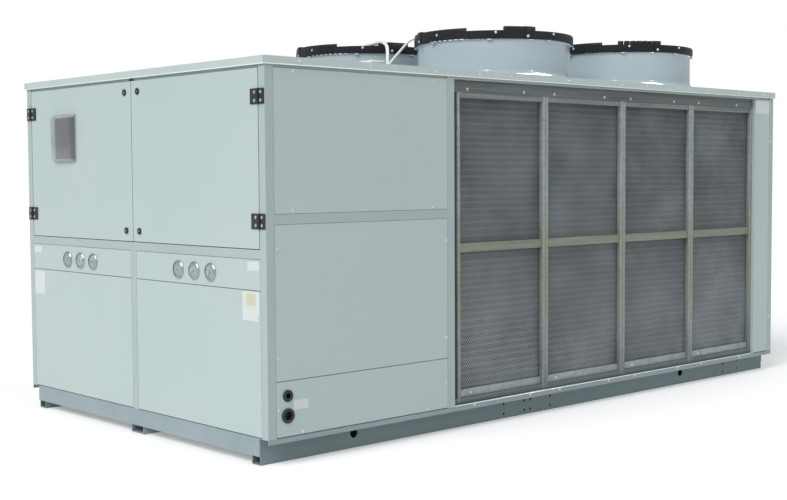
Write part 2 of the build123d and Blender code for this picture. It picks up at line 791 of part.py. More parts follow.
# Hinges: a plate on the post and a plate on the door, their knuckles round one pin
axis_y = front - knuckle_radius
third = hinge_height / 3


def hinge_leaf(side, outward, width, low, knuckles):
    """One plate beside the barrel with its knuckles; knuckles are (bottom, top) above its foot."""
    axis_x = side * frame_inner
    start = axis_x + outward * knuckle_radius
    leaf_y = (front - hinge_leaf_thickness, front)
    block(ordered(start, axis_x + outward * width), leaf_y, (low, low + hinge_height))
    for bottom, top in knuckles:
        block(ordered(axis_x, start), leaf_y, (low + bottom, low + top))
        with Locations((axis_x, axis_y, low + bottom)):
            Cylinder(knuckle_radius, top - bottom, align=(Align.CENTER, Align.CENTER, Align.MIN))


def hinge_barrel(side, low, radius, mode):
    with Locations((side * frame_inner, axis_y, low)):
        Cylinder(radius, hinge_height, align=(Align.CENTER, Align.CENTER, Align.MIN), mode=mode)


lows = [middle - hinge_height / 2 for middle in hinge_heights]
with BuildPart() as post_plates:
    for side in (1, -1):
        for low in lows:
            ends = ((0, third - knuckle_play), (2 * third + knuckle_play, hinge_height))
            hinge_leaf(side, side, hinge_post_leaf, low, ends)
            hinge_barrel(side, low, hinge_pin_radius, Mode.ADD)
save(post_plates.part, "post_hinge_plates")

for side, word in ((1, "right"), (-1, "left")):
    with BuildPart() as door_plates:
        for low in lows:
            hinge_leaf(side, -side, hinge_door_leaf, low, ((third, 2 * third),))
            hinge_barrel(side, low, hinge_pin_radius + hinge_pin_play, Mode.SUBTRACT)
    save(door_plates.part, f"door_hinge_plates_{word}")

# Pressure gauges: flange and case turned about each gauge's axis
with BuildPart() as gauges:
    for x in gauge_x:
        with BuildSketch(Plane(origin=(x, front, gauge_height), x_dir=(1, 0, 0), z_dir=(0, 0, 1))):
            with BuildLine():
                Polyline((0, gauge_case_depth), (gauge_case_radius, gauge_case_depth),
                         (gauge_case_radius, 0), (gauge_flange_radius, 0),
                         (gauge_flange_radius, -gauge_flange_edge),
                         (gauge_case_radius + gauge_flange_edge, -gauge_flange_thickness),
                         (0, -gauge_flange_thickness), (0, gauge_case_depth))
            make_face()
        revolve(axis=Axis((x, front, gauge_height), (0, 1, 0)))
save(gauges.part, "pressure_gauges")
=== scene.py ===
import math
import bmesh
import bpy
from mathutils import Matrix, Vector


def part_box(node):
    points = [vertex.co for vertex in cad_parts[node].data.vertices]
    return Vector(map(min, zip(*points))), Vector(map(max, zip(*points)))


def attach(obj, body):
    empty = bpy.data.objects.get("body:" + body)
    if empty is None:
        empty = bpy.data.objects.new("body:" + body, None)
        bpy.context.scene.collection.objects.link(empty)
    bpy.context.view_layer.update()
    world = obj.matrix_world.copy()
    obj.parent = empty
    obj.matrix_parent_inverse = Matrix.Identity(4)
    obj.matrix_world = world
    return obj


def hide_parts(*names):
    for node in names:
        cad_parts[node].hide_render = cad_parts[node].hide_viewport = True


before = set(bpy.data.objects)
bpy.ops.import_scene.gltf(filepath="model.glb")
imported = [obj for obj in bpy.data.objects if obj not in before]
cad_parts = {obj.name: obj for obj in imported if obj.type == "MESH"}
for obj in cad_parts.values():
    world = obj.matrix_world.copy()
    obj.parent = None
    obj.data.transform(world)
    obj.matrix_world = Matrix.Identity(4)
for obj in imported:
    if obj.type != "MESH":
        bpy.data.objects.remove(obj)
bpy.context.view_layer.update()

# Camera: it stands to the right of the door end at chest height. Its place, heading and
# focal length were solved from the corners of the roof trim, posts and base.
yaw, pitch, roll = math.radians(47.189), math.radians(-3.312), math.radians(-0.326)
ahead = Vector((-math.sin(yaw) * math.cos(pitch), math.cos(yaw) * math.cos(pitch), math.sin(pitch)))
level = Vector((math.cos(yaw), math.sin(yaw), 0))
right = level * math.cos(roll) + level.cross(ahead) * math.sin(roll)
up = right.cross(ahead)
view = Matrix((right, up, -ahead)).transposed().to_4x4()
view.translation = (5.528, -5.421, 1.277)
camera = bpy.data.objects.new("camera", bpy.data.cameras.new("camera"))
camera.matrix_world = view
camera.data.sensor_fit = "HORIZONTAL"
camera.data.sensor_width = 36
camera.data.lens = 1280.1 / 787 * 36
camera.data.clip_end = 200
bpy.context.collection.objects.link(camera)
bpy.context.scene.camera = camera
bpy.context.scene.view_settings.view_transform = "Standard"


# Studio: a pale floor, an even white surround, a broad soft light on the door end, and
# softboxes that give the fan shrouds their highlights.
def new_finish(name):
    """An empty material: its name, node tree and Principled shader are ready to use."""
    finish = bpy.data.materials.new(name)
    finish.use_nodes = True
    return finish, finish.node_tree, finish.node_tree.nodes["Principled BSDF"]


def add_node(tree, kind, inputs=None, **settings):
    node = tree.nodes.new("ShaderNode" + kind)
    for key, value in settings.items():
        setattr(node, key, value)
    for key, value in (inputs or {}).items():
        node.inputs[key].default_value = value
    return node


def deselect():
    bpy.ops.object.select_all(action="DESELECT")


deselect()
bpy.ops.mesh.primitive_circle_add(vertices=96, radius=70, fill_type="NGON", location=(0, 0, -0.001))
floor = bpy.context.object
floor.name = "studio_floor"
floor_finish, tree, shader = new_finish("pale_floor")
cloud = add_node(tree, "TexNoise", {"Scale": 0.6, "Detail": 3.0})
tint = add_node(tree, "Mix", data_type="RGBA")
tint.inputs["A"].default_value = (0.72, 0.72, 0.72, 1)
tint.inputs["B"].default_value = (0.77, 0.77, 0.77, 1)
tree.links.new(cloud.outputs["Fac"], tint.inputs["Factor"])
tree.links.new(tint.outputs["Result"], shader.inputs["Base Color"])
shader.inputs["Roughness"].default_value = 0.85
shader.inputs["Emission Color"].default_value = (1, 1, 1, 1)
shader.inputs["Emission Strength"].default_value = 0.27
floor.data.materials.append(floor_finish)

world = bpy.data.worlds.new("studio")
world.use_nodes = True
bpy.context.scene.world = world
tree = world.node_tree
surround = tree.nodes["Background"]
surround.inputs["Color"].default_value = (0.95, 0.98, 1.0, 1)
surround.inputs["Strength"].default_value = 0.52
backdrop = add_node(tree, "Background", {"Color": (1, 1, 1, 1), "Strength": 1.0})
seen = add_node(tree, "LightPath")
blend = add_node(tree, "MixShader")
tree.links.new(seen.outputs["Is Camera Ray"], blend.inputs["Fac"])
tree.links.new(surround.outputs["Background"], blend.inputs[1])
tree.links.new(backdrop.outputs["Background"], blend.inputs[2])
tree.links.new(blend.outputs["Shader"], tree.nodes["World Output"].inputs["Surface"])


def shine(name, kind, place, target, energy, size):
    light = bpy.data.objects.new(name, bpy.data.lights.new(name, kind))
    light.location = place
    light.rotation_euler = (Vector(target) - Vector(place)).to_track_quat("-Z", "Y").to_euler()
    light.data.energy = energy
    if kind == "SUN":
        light.data.angle = size
    else:
        light.data.shape = "RECTANGLE"
        light.data.size, light.data.size_y = size
    bpy.context.collection.objects.link(light)


shine("door_end_light", "SUN", (1.4, -9, 8.5), (0, 0, 0), 2.35, math.radians(38))
shine("right_softbox", "AREA", (7.5, 1.5, 5.2), (0.5, 0, 1.9), 42, (0.5, 0.86))
shine("camera_softbox", "AREA", (5.6, -7.5, 5.5), (0, 0, 1.8), 45, (1.1, 0.66))
shine("overhead_panel", "AREA", (1.87, 1.97, 5.67), (0.54, 0, 1.85), 420, (3.0, 2.4))
bpy.data.objects["overhead_panel"].visible_diffuse = False


# Shared paint effects, each a node group: the orange peel of sprayed paint, slow drifts of
# tone, dust that settles low down and on top, and faint streaks left by rain.
def effect(name, inputs, outputs):
    group = bpy.data.node_groups.new(name, "ShaderNodeTree")
    for label, kind, value in inputs:
        socket = group.interface.new_socket(label, in_out="INPUT", socket_type="NodeSocket" + kind)
        socket.default_value = value
    for label, kind in outputs:
        group.interface.new_socket(label, in_out="OUTPUT", socket_type="NodeSocket" + kind)
    return group, add_node_raw(group, "NodeGroupInput"), add_node_raw(group, "NodeGroupOutput")


def add_node_raw(tree, kind):
    return tree.nodes.new(kind)


peel_group, given, put = effect("orange_peel", [("Scale", "Float", 400.0), ("Strength", "Float", 0.1)],
                                [("Normal", "Vector")])
place = add_node(peel_group, "TexCoord")
ripple = add_node(peel_group, "TexNoise", {"Detail": 1.0})
relief = add_node(peel_group, "Bump", {"Distance": 0.0006})
peel_group.links.new(place.outputs["Object"], ripple.inputs["Vector"])
peel_group.links.new(given.outputs["Scale"], ripple.inputs["Scale"])
peel_group.links.new(given.outputs["Strength"], relief.inputs["Strength"])
peel_group.links.new(ripple.outputs["Fac"], relief.inputs["Height"])
peel_group.links.new(relief.outputs["Normal"], put.inputs["Normal"])

drift_group, given, put = effect(
    "tone_drift", [("Tone", "Color", (0.5, 0.5, 0.5, 1)), ("Other Tone", "Color", (0.5, 0.5, 0.5, 1)),
                   ("Scale", "Float", 1.5)], [("Color", "Color"), ("Mask", "Float")])
place = add_node(drift_group, "TexCoord")
wide = add_node(drift_group, "TexNoise", {"Detail": 4.0, "Roughness": 0.55})
spread = add_node(drift_group, "MapRange", {"From Min": 0.32, "From Max": 0.68})
choice = add_node(drift_group, "Mix", data_type="RGBA")
drift_group.links.new(place.outputs["Object"], wide.inputs["Vector"])
drift_group.links.new(given.outputs["Scale"], wide.inputs["Scale"])
drift_group.links.new(wide.outputs["Fac"], spread.inputs["Value"])
drift_group.links.new(spread.outputs["Result"], choice.inputs["Factor"])
drift_group.links.new(given.outputs["Tone"], choice.inputs["A"])
drift_group.links.new(given.outputs["Other Tone"], choice.inputs["B"])
drift_group.links.new(choice.outputs["Result"], put.inputs["Color"])
drift_group.links.new(spread.outputs["Result"], put.inputs["Mask"])

dust_group, given, put = effect("settled_dust", [("Height", "Float", 0.5), ("Amount", "Float", 0.3)],
                                [("Mask", "Float")])
place = add_node(dust_group, "TexCoord")
axes = add_node(dust_group, "SeparateXYZ")
low_down = add_node(dust_group, "MapRange", {"From Min": 0.0, "To Min": 1.0, "To Max": 0.0})
facing = add_node(dust_group, "NewGeometry")
tilt = add_node(dust_group, "SeparateXYZ")
on_top = add_node(dust_group, "MapRange", {"From Min": 0.6, "From Max": 1.0})
both = add_node(dust_group, "Math", operation="MAXIMUM")
patches = add_node(dust_group, "TexNoise", {"Scale": 7.0, "Detail": 6.0, "Roughness": 0.65})
broken = add_node(dust_group, "Math", operation="MULTIPLY")
share = add_node(dust_group, "Math", operation="MULTIPLY")
dust_group.links.new(place.outputs["Object"], axes.inputs["Vector"])
dust_group.links.new(place.outputs["Object"], patches.inputs["Vector"])
dust_group.links.new(axes.outputs["Z"], low_down.inputs["Value"])
dust_group.links.new(given.outputs["Height"], low_down.inputs["From Max"])
dust_group.links.new(facing.outputs["Normal"], tilt.inputs["Vector"])
dust_group.links.new(tilt.outputs["Z"], on_top.inputs["Value"])
dust_group.links.new(low_down.outputs["Result"], both.inputs[0])
dust_group.links.new(on_top.outputs["Result"], both.inputs[1])
dust_group.links.new(both.outputs["Value"], broken.inputs[0])
dust_group.links.new(patches.outputs["Fac"], broken.inputs[1])
dust_group.links.new(broken.outputs["Value"], share.inputs[0])
dust_group.links.new(given.outputs["Amount"], share.inputs[1])
dust_group.links.new(share.outputs["Value"], put.inputs["Mask"])

streak_group, given, put = effect("rain_streaks", [("Amount", "Float", 0.2)], [("Mask", "Float")])
place = add_node(streak_group, "TexCoord")
stretch = add_node(streak_group, "Mapping", {"Scale": (26.0, 26.0, 0.9)})
runs = add_node(streak_group, "TexNoise", {"Scale": 1.0, "Detail": 3.0})
thin = add_node(streak_group, "MapRange", {"From Min": 0.55, "From Max": 0.8})
share = add_node(streak_group, "Math", operation="MULTIPLY")
streak_group.links.new(place.outputs["Object"], stretch.inputs["Vector"])
streak_group.links.new(stretch.outputs["Vector"], runs.inputs["Vector"])
streak_group.links.new(runs.outputs["Fac"], thin.inputs["Value"])
streak_group.links.new(thin.outputs["Result"], share.inputs[0])
streak_group.links.new(given.outputs["Amount"], share.inputs[1])
streak_group.links.new(share.outputs["Value"], put.inputs["Mask"])


def use_effect(tree, group, **values):
    node = tree.nodes.new("ShaderNodeGroup")
    node.node_tree = group
    for key, value in values.items():
        node.inputs[key.replace("_", " ")].default_value = value
    return node


def sprayed(name, tone, other, rough, peel, dust=(0.5, 0.25), streaks=0.15, gloss=0.0, dirt=(0.42, 0.42, 0.38),
            sheen=0.5):
    """Sprayed paint: drifting tone, dust and streaks over it, orange peel in its surface."""
    finish, tree, shader = new_finish(name)
    colour = use_effect(tree, drift_group, Tone=(*tone, 1), Other_Tone=(*other, 1))
    settled = use_effect(tree, dust_group, Height=dust[0], Amount=dust[1])
    rain = use_effect(tree, streak_group, Amount=streaks)
    cover = add_node(tree, "Math", operation="MAXIMUM")
    dusty = add_node(tree, "Mix", {"B": (*dirt, 1)}, data_type="RGBA")
    dusty.inputs["B"].default_value = (*dirt, 1)
    matt = add_node(tree, "MapRange", {"To Min": rough, "To Max": min(1.0, rough + 0.3)})
    skin = use_effect(tree, peel_group, Scale=peel[0], Strength=peel[1])
    tree.links.new(settled.outputs["Mask"], cover.inputs[0])
    tree.links.new(rain.outputs["Mask"], cover.inputs[1])
    tree.links.new(cover.outputs["Value"], dusty.inputs["Factor"])
    tree.links.new(colour.outputs["Color"], dusty.inputs["A"])
    tree.links.new(dusty.outputs["Result"], shader.inputs["Base Color"])
    tree.links.new(cover.outputs["Value"], matt.inputs["Value"])
    tree.links.new(matt.outputs["Result"], shader.inputs["Roughness"])
    tree.links.new(skin.outputs["Normal"], shader.inputs["Normal"])
    shader.inputs["Coat Weight"].default_value = gloss
    shader.inputs["Coat Roughness"].default_value = 0.06
    shader.inputs["Specular IOR Level"].default_value = sheen
    return finish


def dress(finish, *nodes):
    """Gives CAD nodes their finish."""
    for node in nodes:
        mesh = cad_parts[node].data
        mesh.materials.clear()
        mesh.materials.append(finish)


# Base: three box-section steel runners with channel ends and a deck plate, welded up and
# brushed in blue-grey primer. The runners are drilled for lifting bars and for anchors.
base_primer = sprayed("base_primer", (0.215, 0.285, 0.315), (0.185, 0.25, 0.28), 0.5, (90, 0.35), (0.25, 0.5), 0.3)
# The side runners take a darker copy of the primer: painted shade for their shadowed long faces low down.
shaded_side_primer = sprayed("shaded_side_primer", (0.145, 0.205, 0.215), (0.12, 0.175, 0.185), 0.5, (90, 0.35), (0.12, 0.5), 0.25,
                      0.0, (0.22, 0.27, 0.27))
dress(base_primer, "base_middle_runner", "base_end_beams", "base_deck", "skirts")
dress(shaded_side_primer, "base_side_runners")


def choose(piece, test):
    """In edit mode, leaves only the faces that pass the test selected."""
    bpy.ops.mesh.select_mode(type="FACE")
    bpy.ops.mesh.select_all(action="DESELECT")
    shape = bmesh.from_edit_mesh(piece.data)
    for face in shape.faces:
        face.select_set(bool(test(face)))
    bmesh.update_edit_mesh(piece.data)


def turned(name, profile, sides):
    """A solid drawn up step by step from a short cone; profile is (radius, height) pairs."""
    (r0, z0), (r1, z1) = profile[:2]
    deselect()
    bpy.ops.mesh.primitive_cone_add(vertices=sides, radius1=r0, radius2=r1, depth=z1 - z0,
                                    location=(0, 0, (z0 + z1) / 2))
    piece = bpy.context.object
    piece.name = name
    bpy.ops.object.transform_apply(location=True, rotation=False, scale=False)
    bpy.ops.object.mode_set(mode="EDIT")
    choose(piece, lambda face: face.normal.z > 0.99)
    for (ra, za), (rb, zb) in zip(profile[1:], profile[2:]):
        bpy.ops.mesh.extrude_region_move(TRANSFORM_OT_translate={"value": (0, 0, zb - za)})
        bpy.ops.transform.resize(value=(rb / ra, rb / ra, 1), center_override=(0, 0, zb))
    bpy.ops.mesh.select_all(action="SELECT")
    bpy.ops.mesh.normals_make_consistent(inside=False)
    bpy.ops.object.mode_set(mode="OBJECT")
    return piece


turns = {"top": Matrix.Identity(4), "front": Matrix.Rotation(math.pi / 2, 4, "X"),
         "rear": Matrix.Rotation(-math.pi / 2, 4, "X"), "right": Matrix.Rotation(math.pi / 2, 4, "Y"),
         "left": Matrix.Rotation(-math.pi / 2, 4, "Y")}


def spot(face, x, y, z):
    """The place of a small piece whose back lies at that point of one face."""
    return Matrix.Translation((x, y, z)) @ turns[face]


def repeat(model, name, places):
    """Copies of a model, each with its own mesh, joined as one piece."""
    copies = []
    for place in places:
        twin = model.copy()
        twin.data = model.data.copy()
        twin.data.transform(place)
        bpy.context.collection.objects.link(twin)
        copies.append(twin)
    bpy.data.objects.remove(model)
    deselect()
    for twin in copies:
        twin.select_set(True)
    bpy.context.view_layer.objects.active = copies[0]
    if len(copies) > 1:
        bpy.ops.object.join()
    copies[0].name = name
    return copies[0]


def hand_over(piece, finish, body="unit"):
    """Gives a piece its finish, smooth curves and the body it moves with."""
    piece.data.materials.clear()
    piece.data.materials.append(finish)
    deselect()
    piece.select_set(True)
    bpy.context.view_layer.objects.active = piece
    bpy.ops.object.shade_smooth_by_angle(angle=math.radians(38))
    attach(piece, body)
    return piece


def plain(name, tone, rough, metal=0.0, peel=(250, 0.1), spread=0.8):
    """A small-part finish: a slightly uneven tone and a fine grain."""
    finish, tree, shader = new_finish(name)
    colour = use_effect(tree, drift_group, Tone=(*tone, 1), Other_Tone=(*(v * spread for v in tone), 1), Scale=25)
    matt = add_node(tree, "MapRange", {"To Min": rough * 0.85, "To Max": min(1, rough * 1.2)})
    skin = use_effect(tree, peel_group, Scale=peel[0], Strength=peel[1])
    tree.links.new(colour.outputs["Color"], shader.inputs["Base Color"])
    tree.links.new(colour.outputs["Mask"], matt.inputs["Value"])
    tree.links.new(matt.outputs["Result"], shader.inputs["Roughness"])
    tree.links.new(skin.outputs["Normal"], shader.inputs["Normal"])
    shader.inputs["Metallic"].default_value = metal
    return finish


runner_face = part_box("base_side_runners")[1].x
door_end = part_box("base_deck")[0].y
# Each hole is a near-black disc on the runner face: painted shade for the hole's unlit inside.
hole_shade_paint = plain("hole_shade_paint", (0.012, 0.014, 0.016), 0.9)
holes = []
for side, face in ((1, "right"), (-1, "left")):
    for run, z in ((1.598, 0.024), (1.598, 0.075), (1.762, 0.024), (1.762, 0.075), (1.809, 0.024), (1.809, 0.075),
                   (1.972, 0.024), (1.972, 0.075), (3.657, 0.024), (3.657, 0.075), (3.824, 0.031), (3.824, 0.082)):
        holes.append(spot(face, side * (runner_face - 0.0004), door_end + run, z))
rim = turned("anchor_hole", [(0.0072, 0), (0.0072, 0.0006), (0.006, 0.0009), (0.0052, 0.0005)], 16)
hand_over(repeat(rim, "anchor_holes", holes), hole_shade_paint)

# Frame: roll-formed posts and rails in the same grey as the panels,
# but a little darker.
frame_paint = sprayed("frame_paint", (0.335, 0.40, 0.40), (0.31, 0.375, 0.38), 0.42, (420, 0.12), (0.4, 0.2))
dress(frame_paint, "front_corner_posts", "rear_corner_posts", "side_posts", "front_centre_post",
      "rear_centre_post", "front_mid_rail", "rear_mid_rail", "side_mid_rails", "top_rails", "plenum_bulkhead")

# Panels: folded sheet steel with a light grey powder coat, pushed in between the posts
# and held by small white button-head screws near their corners.
panel_paint = sprayed("panel_paint", (0.388, 0.462, 0.452), (0.37, 0.447, 0.445), 0.38, (520, 0.10), (0.35, 0.15), 0.06)
dress(panel_paint, "gauge_panels", "lower_front_panels", "rear_panels", "side_panels_upper", "side_panels_lower",
      "service_panels", "coil_end_panels", "door_left", "door_right", "machine_room_roof", "fan_decks")

face_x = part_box("side_panels_upper")[1].x
face_y = -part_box("gauge_panels")[0].y
screw_white = plain("screw_white", (0.62, 0.66, 0.66), 0.35, 0.2)


def button_screw(name):
    """A button head on its washer, with a round recess for the driver."""
    return turned(name, [(0.0078, 0), (0.0078, 0.0012), (0.0062, 0.0016), (0.0058, 0.0034), (0.0042, 0.0044),
                         (0.0022, 0.0044), (0.0018, 0.0026)], 12)


front_screws = [(0.0395, 0.846), (0.0395, 0.656), (0.0395, 0.246), (1.0245, 0.843), (1.0245, 0.656), (1.0245, 0.243)]
side_screws = [(0.153, 1.739), (1.022, 1.736), (0.148, 1.127), (1.014, 1.125), (0.058, 0.959), (1.107, 0.959),
               (0.057, 0.477), (1.105, 0.478), (0.057, 0.249), (1.104, 0.253), (0.190, 0.138), (0.974, 0.135),
               (4.087, 1.484), (4.087, 0.9355), (4.087, 0.35)]
places = []
for side, face in ((1, "right"), (-1, "left")):
    for x, z in front_screws:
        places += [spot("front", side * x, -face_y, z), spot("rear", side * x, face_y, z)]
    for x in (0.0395, 1.0245):
        places += [spot("rear", side * x, face_y, z) for z in (1.72, 1.34, 0.99)]
    places += [spot(face, side * face_x, door_end + run, z) for run, z in side_screws]
hand_over(repeat(button_screw("screw"), "panel_screws", places), screw_white)

# Roof trim: a folded angle round the roof edge in panel paint, screwed through its skin. The
# rolled hem along its foot and the toe of each coil sill each carry a pale strip of painted highlight.
trim_paint = sprayed("trim_paint", (0.42, 0.49, 0.485), (0.395, 0.465, 0.46), 0.4, (480, 0.10), (0.1, 0.3), 0.2)
dress(trim_paint, "roof_trim")
trim_low, trim_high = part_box("roof_trim")
trim_runs = [0.186, 0.610, 1.032, 1.341, 1.576, 2.039, 2.505, 2.732, 3.05, 3.36, 3.70, 4.0]
places = []
for side, face in ((1, "right"), (-1, "left")):
    places += [spot(face, side * trim_high.x, door_end + run, 1.781) for run in trim_runs]
places += [spot("rear", x, trim_high.y, 1.781) for x in (-0.9, -0.45, 0, 0.45, 0.9)]
places += [spot("top", side * 1.055, door_end + run, trim_high.z) for side in (1, -1) for run in trim_runs]
hand_over(repeat(button_screw("screw"), "trim_screws", places), screw_white)


def slab(name, low, high, edge=0.001, segments=2):
    """A block with its edges rounded over."""
    deselect()
    bpy.ops.mesh.primitive_cube_add(size=1, location=[(a + b) / 2 for a, b in zip(low, high)])
    piece = bpy.context.object
    piece.name = name
    piece.scale = [b - a for a, b in zip(low, high)]
    bpy.ops.object.transform_apply(location=True, rotation=False, scale=True)
    edges = piece.modifiers.new("edges", "BEVEL")
    edges.width, edges.segments = edge, segments
    bpy.ops.object.modifier_apply(modifier="edges")
    return piece


# A pale glossy strip: painted highlight standing for the light the rolled edges catch.
edge_highlight_paint = plain("edge_highlight_paint", (0.80, 0.85, 0.84), 0.25, 0.2, (300, 0.05), 0.85)
hem = 0.0052
strips = [slab("hem", (side * trim_high.x - 0.0022, trim_low.y, trim_low.z), (side * trim_high.x + 0.0002, trim_high.y,
               trim_low.z + hem), 0.001, 2) if side > 0 else
          slab("hem", (trim_low.x - 0.0002, trim_low.y, trim_low.z), (trim_low.x + 0.0022, trim_high.y, trim_low.z + hem), 0.001, 2)
          for side in (1, -1)]
strips += [slab("hem", (trim_low.x, y - 0.0012, trim_low.z), (trim_high.x, y + 0.0012, trim_low.z + hem), 0.001, 2)
           for y in (trim_low.y + 0.001, trim_high.y - 0.001)]
deselect()
for strip in strips:
    strip.select_set(True)
bpy.context.view_layer.objects.active = strips[0]
bpy.ops.object.join()
strips[0].name = "trim_hems"
hand_over(strips[0], edge_highlight_paint)

# Condenser openings: galvanised mullions with a folded seam down the middle, rails set back
# between them and a blank strip at the foot. The zinc is grey, with a greenish painted reflection of grass between two
# heights on the mullions and rails.
def zinc_finish(name, tones, brush_scale, grass_reflection, spangled=0.35):
    """Zinc: a soft spangle under brushed streaks, a greenish painted reflection of grass between two heights, darker at
    the foot.
    """
    finish, tree, shader = new_finish(name)
    place = add_node(tree, "TexCoord")
    spangle = add_node(tree, "TexVoronoi", {"Scale": 55.0})
    brush = add_node(tree, "Mapping", {"Scale": brush_scale})
    streaky = add_node(tree, "TexNoise", {"Scale": 1.0, "Detail": 5.0, "Roughness": 0.6})
    axes = add_node(tree, "SeparateXYZ")
    rise = add_node(tree, "MapRange", {"From Min": 0.35, "From Max": 0.62})
    fall = add_node(tree, "MapRange", {"From Min": 0.9, "From Max": 1.15, "To Min": grass_reflection, "To Max": 0.0})
    foot = add_node(tree, "MapRange", {"From Min": 0.12, "From Max": 0.5, "To Min": 0.4, "To Max": 0.0})
    patches = add_node(tree, "TexNoise", {"Scale": 2.2, "Detail": 3.0})
    reflection_band = add_node(tree, "Math", operation="MULTIPLY")
    reflection_share = add_node(tree, "Math", operation="MULTIPLY")
    grey = add_node(tree, "ValToRGB")
    grey.color_ramp.elements[0].position, grey.color_ramp.elements[0].color = 0.3, (*tones[0], 1)
    grey.color_ramp.elements[1].position, grey.color_ramp.elements[1].color = 0.7, (*tones[1], 1)
    mixed = add_node(tree, "Math", operation="MULTIPLY_ADD")
    mixed.inputs[1].default_value = spangled
    level = add_node(tree, "Math", operation="MULTIPLY")
    level.inputs[1].default_value = 1 / (1 + spangled)
    tint = add_node(tree, "Mix", data_type="RGBA")
    # Greenish colour: painted reflection of grass.
    tint.inputs["B"].default_value = (0.19, 0.235, 0.125, 1)
    dark = add_node(tree, "Mix", data_type="RGBA")
    dark.inputs["B"].default_value = (0.055, 0.065, 0.062, 1)
    rough = add_node(tree, "MapRange", {"To Min": 0.35, "To Max": 0.6})
    for target in (spangle, brush, patches, axes):
        tree.links.new(place.outputs["Object"], target.inputs["Vector"])
    tree.links.new(brush.outputs["Vector"], streaky.inputs["Vector"])
    for target in (rise, fall, foot):
        tree.links.new(axes.outputs["Z"], target.inputs["Value"])
    tree.links.new(rise.outputs["Result"], reflection_band.inputs[0])
    tree.links.new(fall.outputs["Result"], reflection_band.inputs[1])
    tree.links.new(reflection_band.outputs["Value"], reflection_share.inputs[0])
    tree.links.new(patches.outputs["Fac"], reflection_share.inputs[1])
    tree.links.new(spangle.outputs["Color"], mixed.inputs[0])
    tree.links.new(streaky.outputs["Fac"], mixed.inputs[2])
    tree.links.new(mixed.outputs["Value"], level.inputs[0])
    tree.links.new(level.outputs["Value"], grey.inputs["Fac"])
    tree.links.new(grey.outputs["Color"], tint.inputs["A"])
    tree.links.new(reflection_share.outputs["Value"], tint.inputs["Factor"])
    tree.links.new(tint.outputs["Result"], dark.inputs["A"])
    tree.links.new(foot.outputs["Result"], dark.inputs["Factor"])
    tree.links.new(dark.outputs["Result"], shader.inputs["Base Color"])
    tree.links.new(level.outputs["Value"], rough.inputs["Value"])
    tree.links.new(rough.outputs["Result"], shader.inputs["Roughness"])
    shader.inputs["Metallic"].default_value = 0.3
    return finish


# Mullions and rails carry the painted grass reflection; the header and sill finishes do not.
zinc = zinc_finish("zinc_painted_grass_reflection", ((0.20, 0.225, 0.225), (0.33, 0.36, 0.36)), (60.0, 60.0, 4.0), 1.1)
rail_zinc = zinc_finish("rail_zinc", ((0.12, 0.14, 0.14), (0.24, 0.26, 0.26)), (60.0, 2.0, 60.0), 1.0, 0.1)
# Header rails take a much darker zinc: painted shade under the roof trim's overhang.
shaded_header_zinc = zinc_finish("shaded_header_zinc", ((0.055, 0.07, 0.067), (0.165, 0.19, 0.185)), (40.0, 1.3, 90.0), 0.0, 0.05)
sill_zinc = zinc_finish("sill_zinc", ((0.11, 0.135, 0.135), (0.20, 0.235, 0.235)), (40.0, 1.3, 90.0), 0.0, 0.05)
blank_paint = plain("blank_strip_paint", (0.30, 0.35, 0.36), 0.5, 0.1, (300, 0.3), 0.75)
dress(shaded_header_zinc, "coil_header_rails")
dress(sill_zinc, "coil_sills")

bar_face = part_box("coil_frame_right")[1].x
bar_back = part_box("coil_frame_right")[0].x
frame_low, frame_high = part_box("coil_frame_right")
header_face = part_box("coil_header_rails")[1].x
toe_top = 0.127
mullion, end_bar, bays = 0.047, 0.021, 4
bay = (frame_high.y - frame_low.y - 2 * end_bar - (bays - 1) * mullion) / bays
bay_starts = [frame_low.y + end_bar + n * (bay + mullion) for n in range(bays)]
blank_top, rail_low, rail_high, head_low = 0.197, 0.892, 0.937, 1.664


def both_sides(pieces, name, finish):
    """Joins pieces of the right side, turns a copy of them over to the left and hands both over."""
    deselect()
    for piece in pieces:
        piece.select_set(True)
    bpy.context.view_layer.objects.active = pieces[0]
    bpy.ops.object.join()
    made = []
    for side, word in ((1, "right"), (-1, "left")):
        twin = pieces[0].copy()
        twin.data = pieces[0].data.copy()
        twin.name = f"{name}_{word}"
        bpy.context.collection.objects.link(twin)
        if side < 0:
            twin.data.transform(Matrix.Scale(-1, 4, (1, 0, 0)))
            deselect()
            twin.select_set(True)
            bpy.context.view_layer.objects.active = twin
            bpy.ops.object.mode_set(mode="EDIT")
            bpy.ops.mesh.select_all(action="SELECT")
            bpy.ops.mesh.normals_make_consistent(inside=False)
            bpy.ops.object.mode_set(mode="OBJECT")
        made.append(hand_over(twin, finish))
    bpy.data.objects.remove(pieces[0])
    return made


bars = []
for start in bay_starts[1:]:
    middle = start - mullion / 2
    bars.append(slab("bar", (bar_back, start - mullion, toe_top), (bar_face + 0.001, middle - 0.0012, frame_high.z), 0.0025, 2))
    bars.append(slab("bar", (bar_back, middle + 0.0012, toe_top), (bar_face + 0.001, start, frame_high.z), 0.0025, 2))
    bars.append(slab("bar", (bar_back, middle - 0.002, toe_top), (bar_face - 0.004, middle + 0.002, frame_high.z), 0.0005, 1))
for low, high in ((frame_low.y, frame_low.y + end_bar), (frame_high.y - end_bar, frame_high.y)):
    bars.append(slab("bar", (bar_back, low, toe_top), (bar_face + 0.001, high, frame_high.z), 0.0025, 2))
for made, node in zip(both_sides(bars, "coil_mullions", zinc), ("coil_frame_right", "coil_frame_left")):
    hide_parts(node)
rails = []
for start in bay_starts:
    rails.append(slab("rail", (bar_back, start, rail_low), (bar_face - 0.004, start + bay, rail_high), 0.002, 2))
    rails.append(slab("rail", (bar_back, start, head_low), (bar_face - 0.002, start + bay, frame_high.z), 0.002, 2))
both_sides(rails, "coil_rails", rail_zinc)
